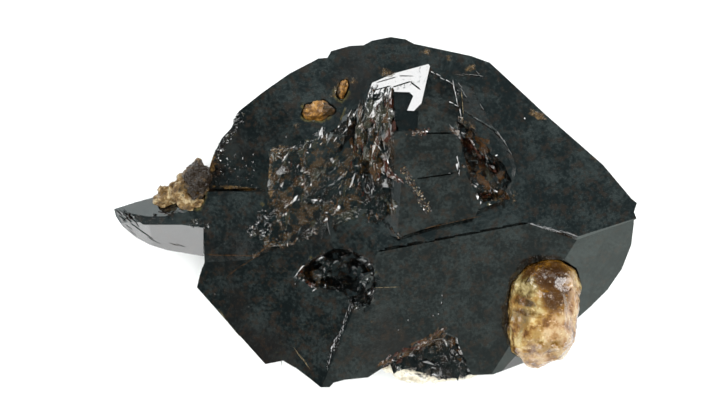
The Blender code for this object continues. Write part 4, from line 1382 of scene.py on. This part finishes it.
apatite = welded("fluorapatite")
refine(apatite, everywhere, APATITE_NET)
swell(apatite, APATITE_GROWTH)
for depth, size, seed in APATITE_DENTS:
    dent(apatite, depth, size, seed)
for x, y, radius in MIRRORS:
    flatten(apatite, x, y, radius, mirroring(APATITE_WAY))
for label, patches in PATCHES:
    paint(apatite, label, stains(points_of(apatite), patches))
finished(apatite, "fluorapatite_crystal", ["fluorapatite"], apatite_finish())

# %% [markdown]
# ## The small grains
#
# A cream remnant of calcite under the bay, a granular lump on the blade, and two orange grains.
# They are rough and matt, so their relief matters more than their gloss.  Each could be built up
# from many little balls, but dents by noise, with a sugary bump on top, look the same at this
# size.  The parts of them that lie in shade or are dirty are painted on.

# %% Grain finish
GRAIN_IOR = 1.55
GRAIN_STOPS = (0.36, 0.50, 0.64)


def grain_finish(name, colours, shade, size, depth, rough):
    """Matt mineral with sugary relief; the colours run from its hollows to its tips."""
    made, tree, shader = new_finish(name, {"IOR": GRAIN_IOR})
    lumps = mottle(tree, size, 5.0, 0.6)
    relief = facets(tree, size * 1.4) + lumps
    shaded = (painted(tree, "shade") * 0.9 + lumps * 2.4 - 1.45).step(0.0, 0.4)
    feed(shader, Base_Color=lumps.ramp(*zip(GRAIN_STOPS, colours)).tint(shaded, shade),
         Roughness=rough - 0.3 * lumps.step(0.5, 0.7), Normal=bump(tree, relief, depth))
    return made


ORANGE = [(0.055, 0.023, 0.004), (0.155, 0.070, 0.013), (0.34, 0.175, 0.040)]
CALCITE = [(0.40, 0.34, 0.24), (0.66, 0.60, 0.48), (0.80, 0.76, 0.66)]
LUMP = [(0.050, 0.025, 0.006), (0.150, 0.088, 0.028), (0.42, 0.33, 0.19)]
orange = grain_finish("orange_grain", ORANGE, (0.028, 0.016, 0.006), 1.4, 0.12, 0.40)
calcite = grain_finish("calcite", CALCITE, (0.016, 0.012, 0.008), 0.9, 0.30, 0.55)
lump = grain_finish("brown_lump", LUMP, (0.014, 0.008, 0.004), 1.0, 0.30, 0.45)
print("grain finishes:", orange.name, calcite.name, lump.name)

# %% Small grains
LUMP_SHADE = [(-23.2, 4.8, 2.3, 2.4, 0, 0.9), (-23.6, 2.6, 1.6, 0.9, 0, 0.8),
              (-25.4, 3.4, 1.2, 0.6, 30, 0.5)]
CALCITE_SHADE = [(9.6, -20.9, 3.8, 1.5, 0, 1.0), (4.6, -20.6, 2.6, 0.8, -15, 0.75)]
ORANGE_SHADE = [(-5.9, 13.2, 1.0, 1.6, 0, 0.8)]
SMALL_SHADE = [(-5.2, 16.0, 0.7, 1.0, 0, 0.9)]
GRAINS = [    # node, slot, finish, shade, longest edge, depth and size of dents, seed, growth
    ("calcite", "calcite", calcite, CALCITE_SHADE, 0.5, 0.5, 1.2, 2.0, 0.15),
    ("brown_lump", "brown_lump", lump, LUMP_SHADE, 0.3, 0.6, 0.9, 5.0, 0.15),
    ("orange_grain", "orange_grain", orange, ORANGE_SHADE, 0.3, 0.25, 0.8, 4.0, 0.0),
    ("small_orange_grain", "orange_grain", orange, SMALL_SHADE, 0.2, 0.15, 0.6, 6.0, 0.0),
]
FINE_DEPTH = 0.4          # fine dents are this share of the large ones in depth
FINE_SIZE = 0.35          # and this share of them in size
FINE_SEED = 3


def grain_piece(node, slot, finish, shade, longest, depth, size, seed, growth):
    solid = welded(node)
    refine(solid, everywhere, longest)
    swell(solid, growth)
    dent(solid, depth, size, seed)
    dent(solid, depth * FINE_DEPTH, size * FINE_SIZE, seed + FINE_SEED)
    paint(solid, "shade", stains(points_of(solid), shade))
    finished(solid, node + "_grain", [node], finish)


for row in GRAINS:
    grain_piece(*row)
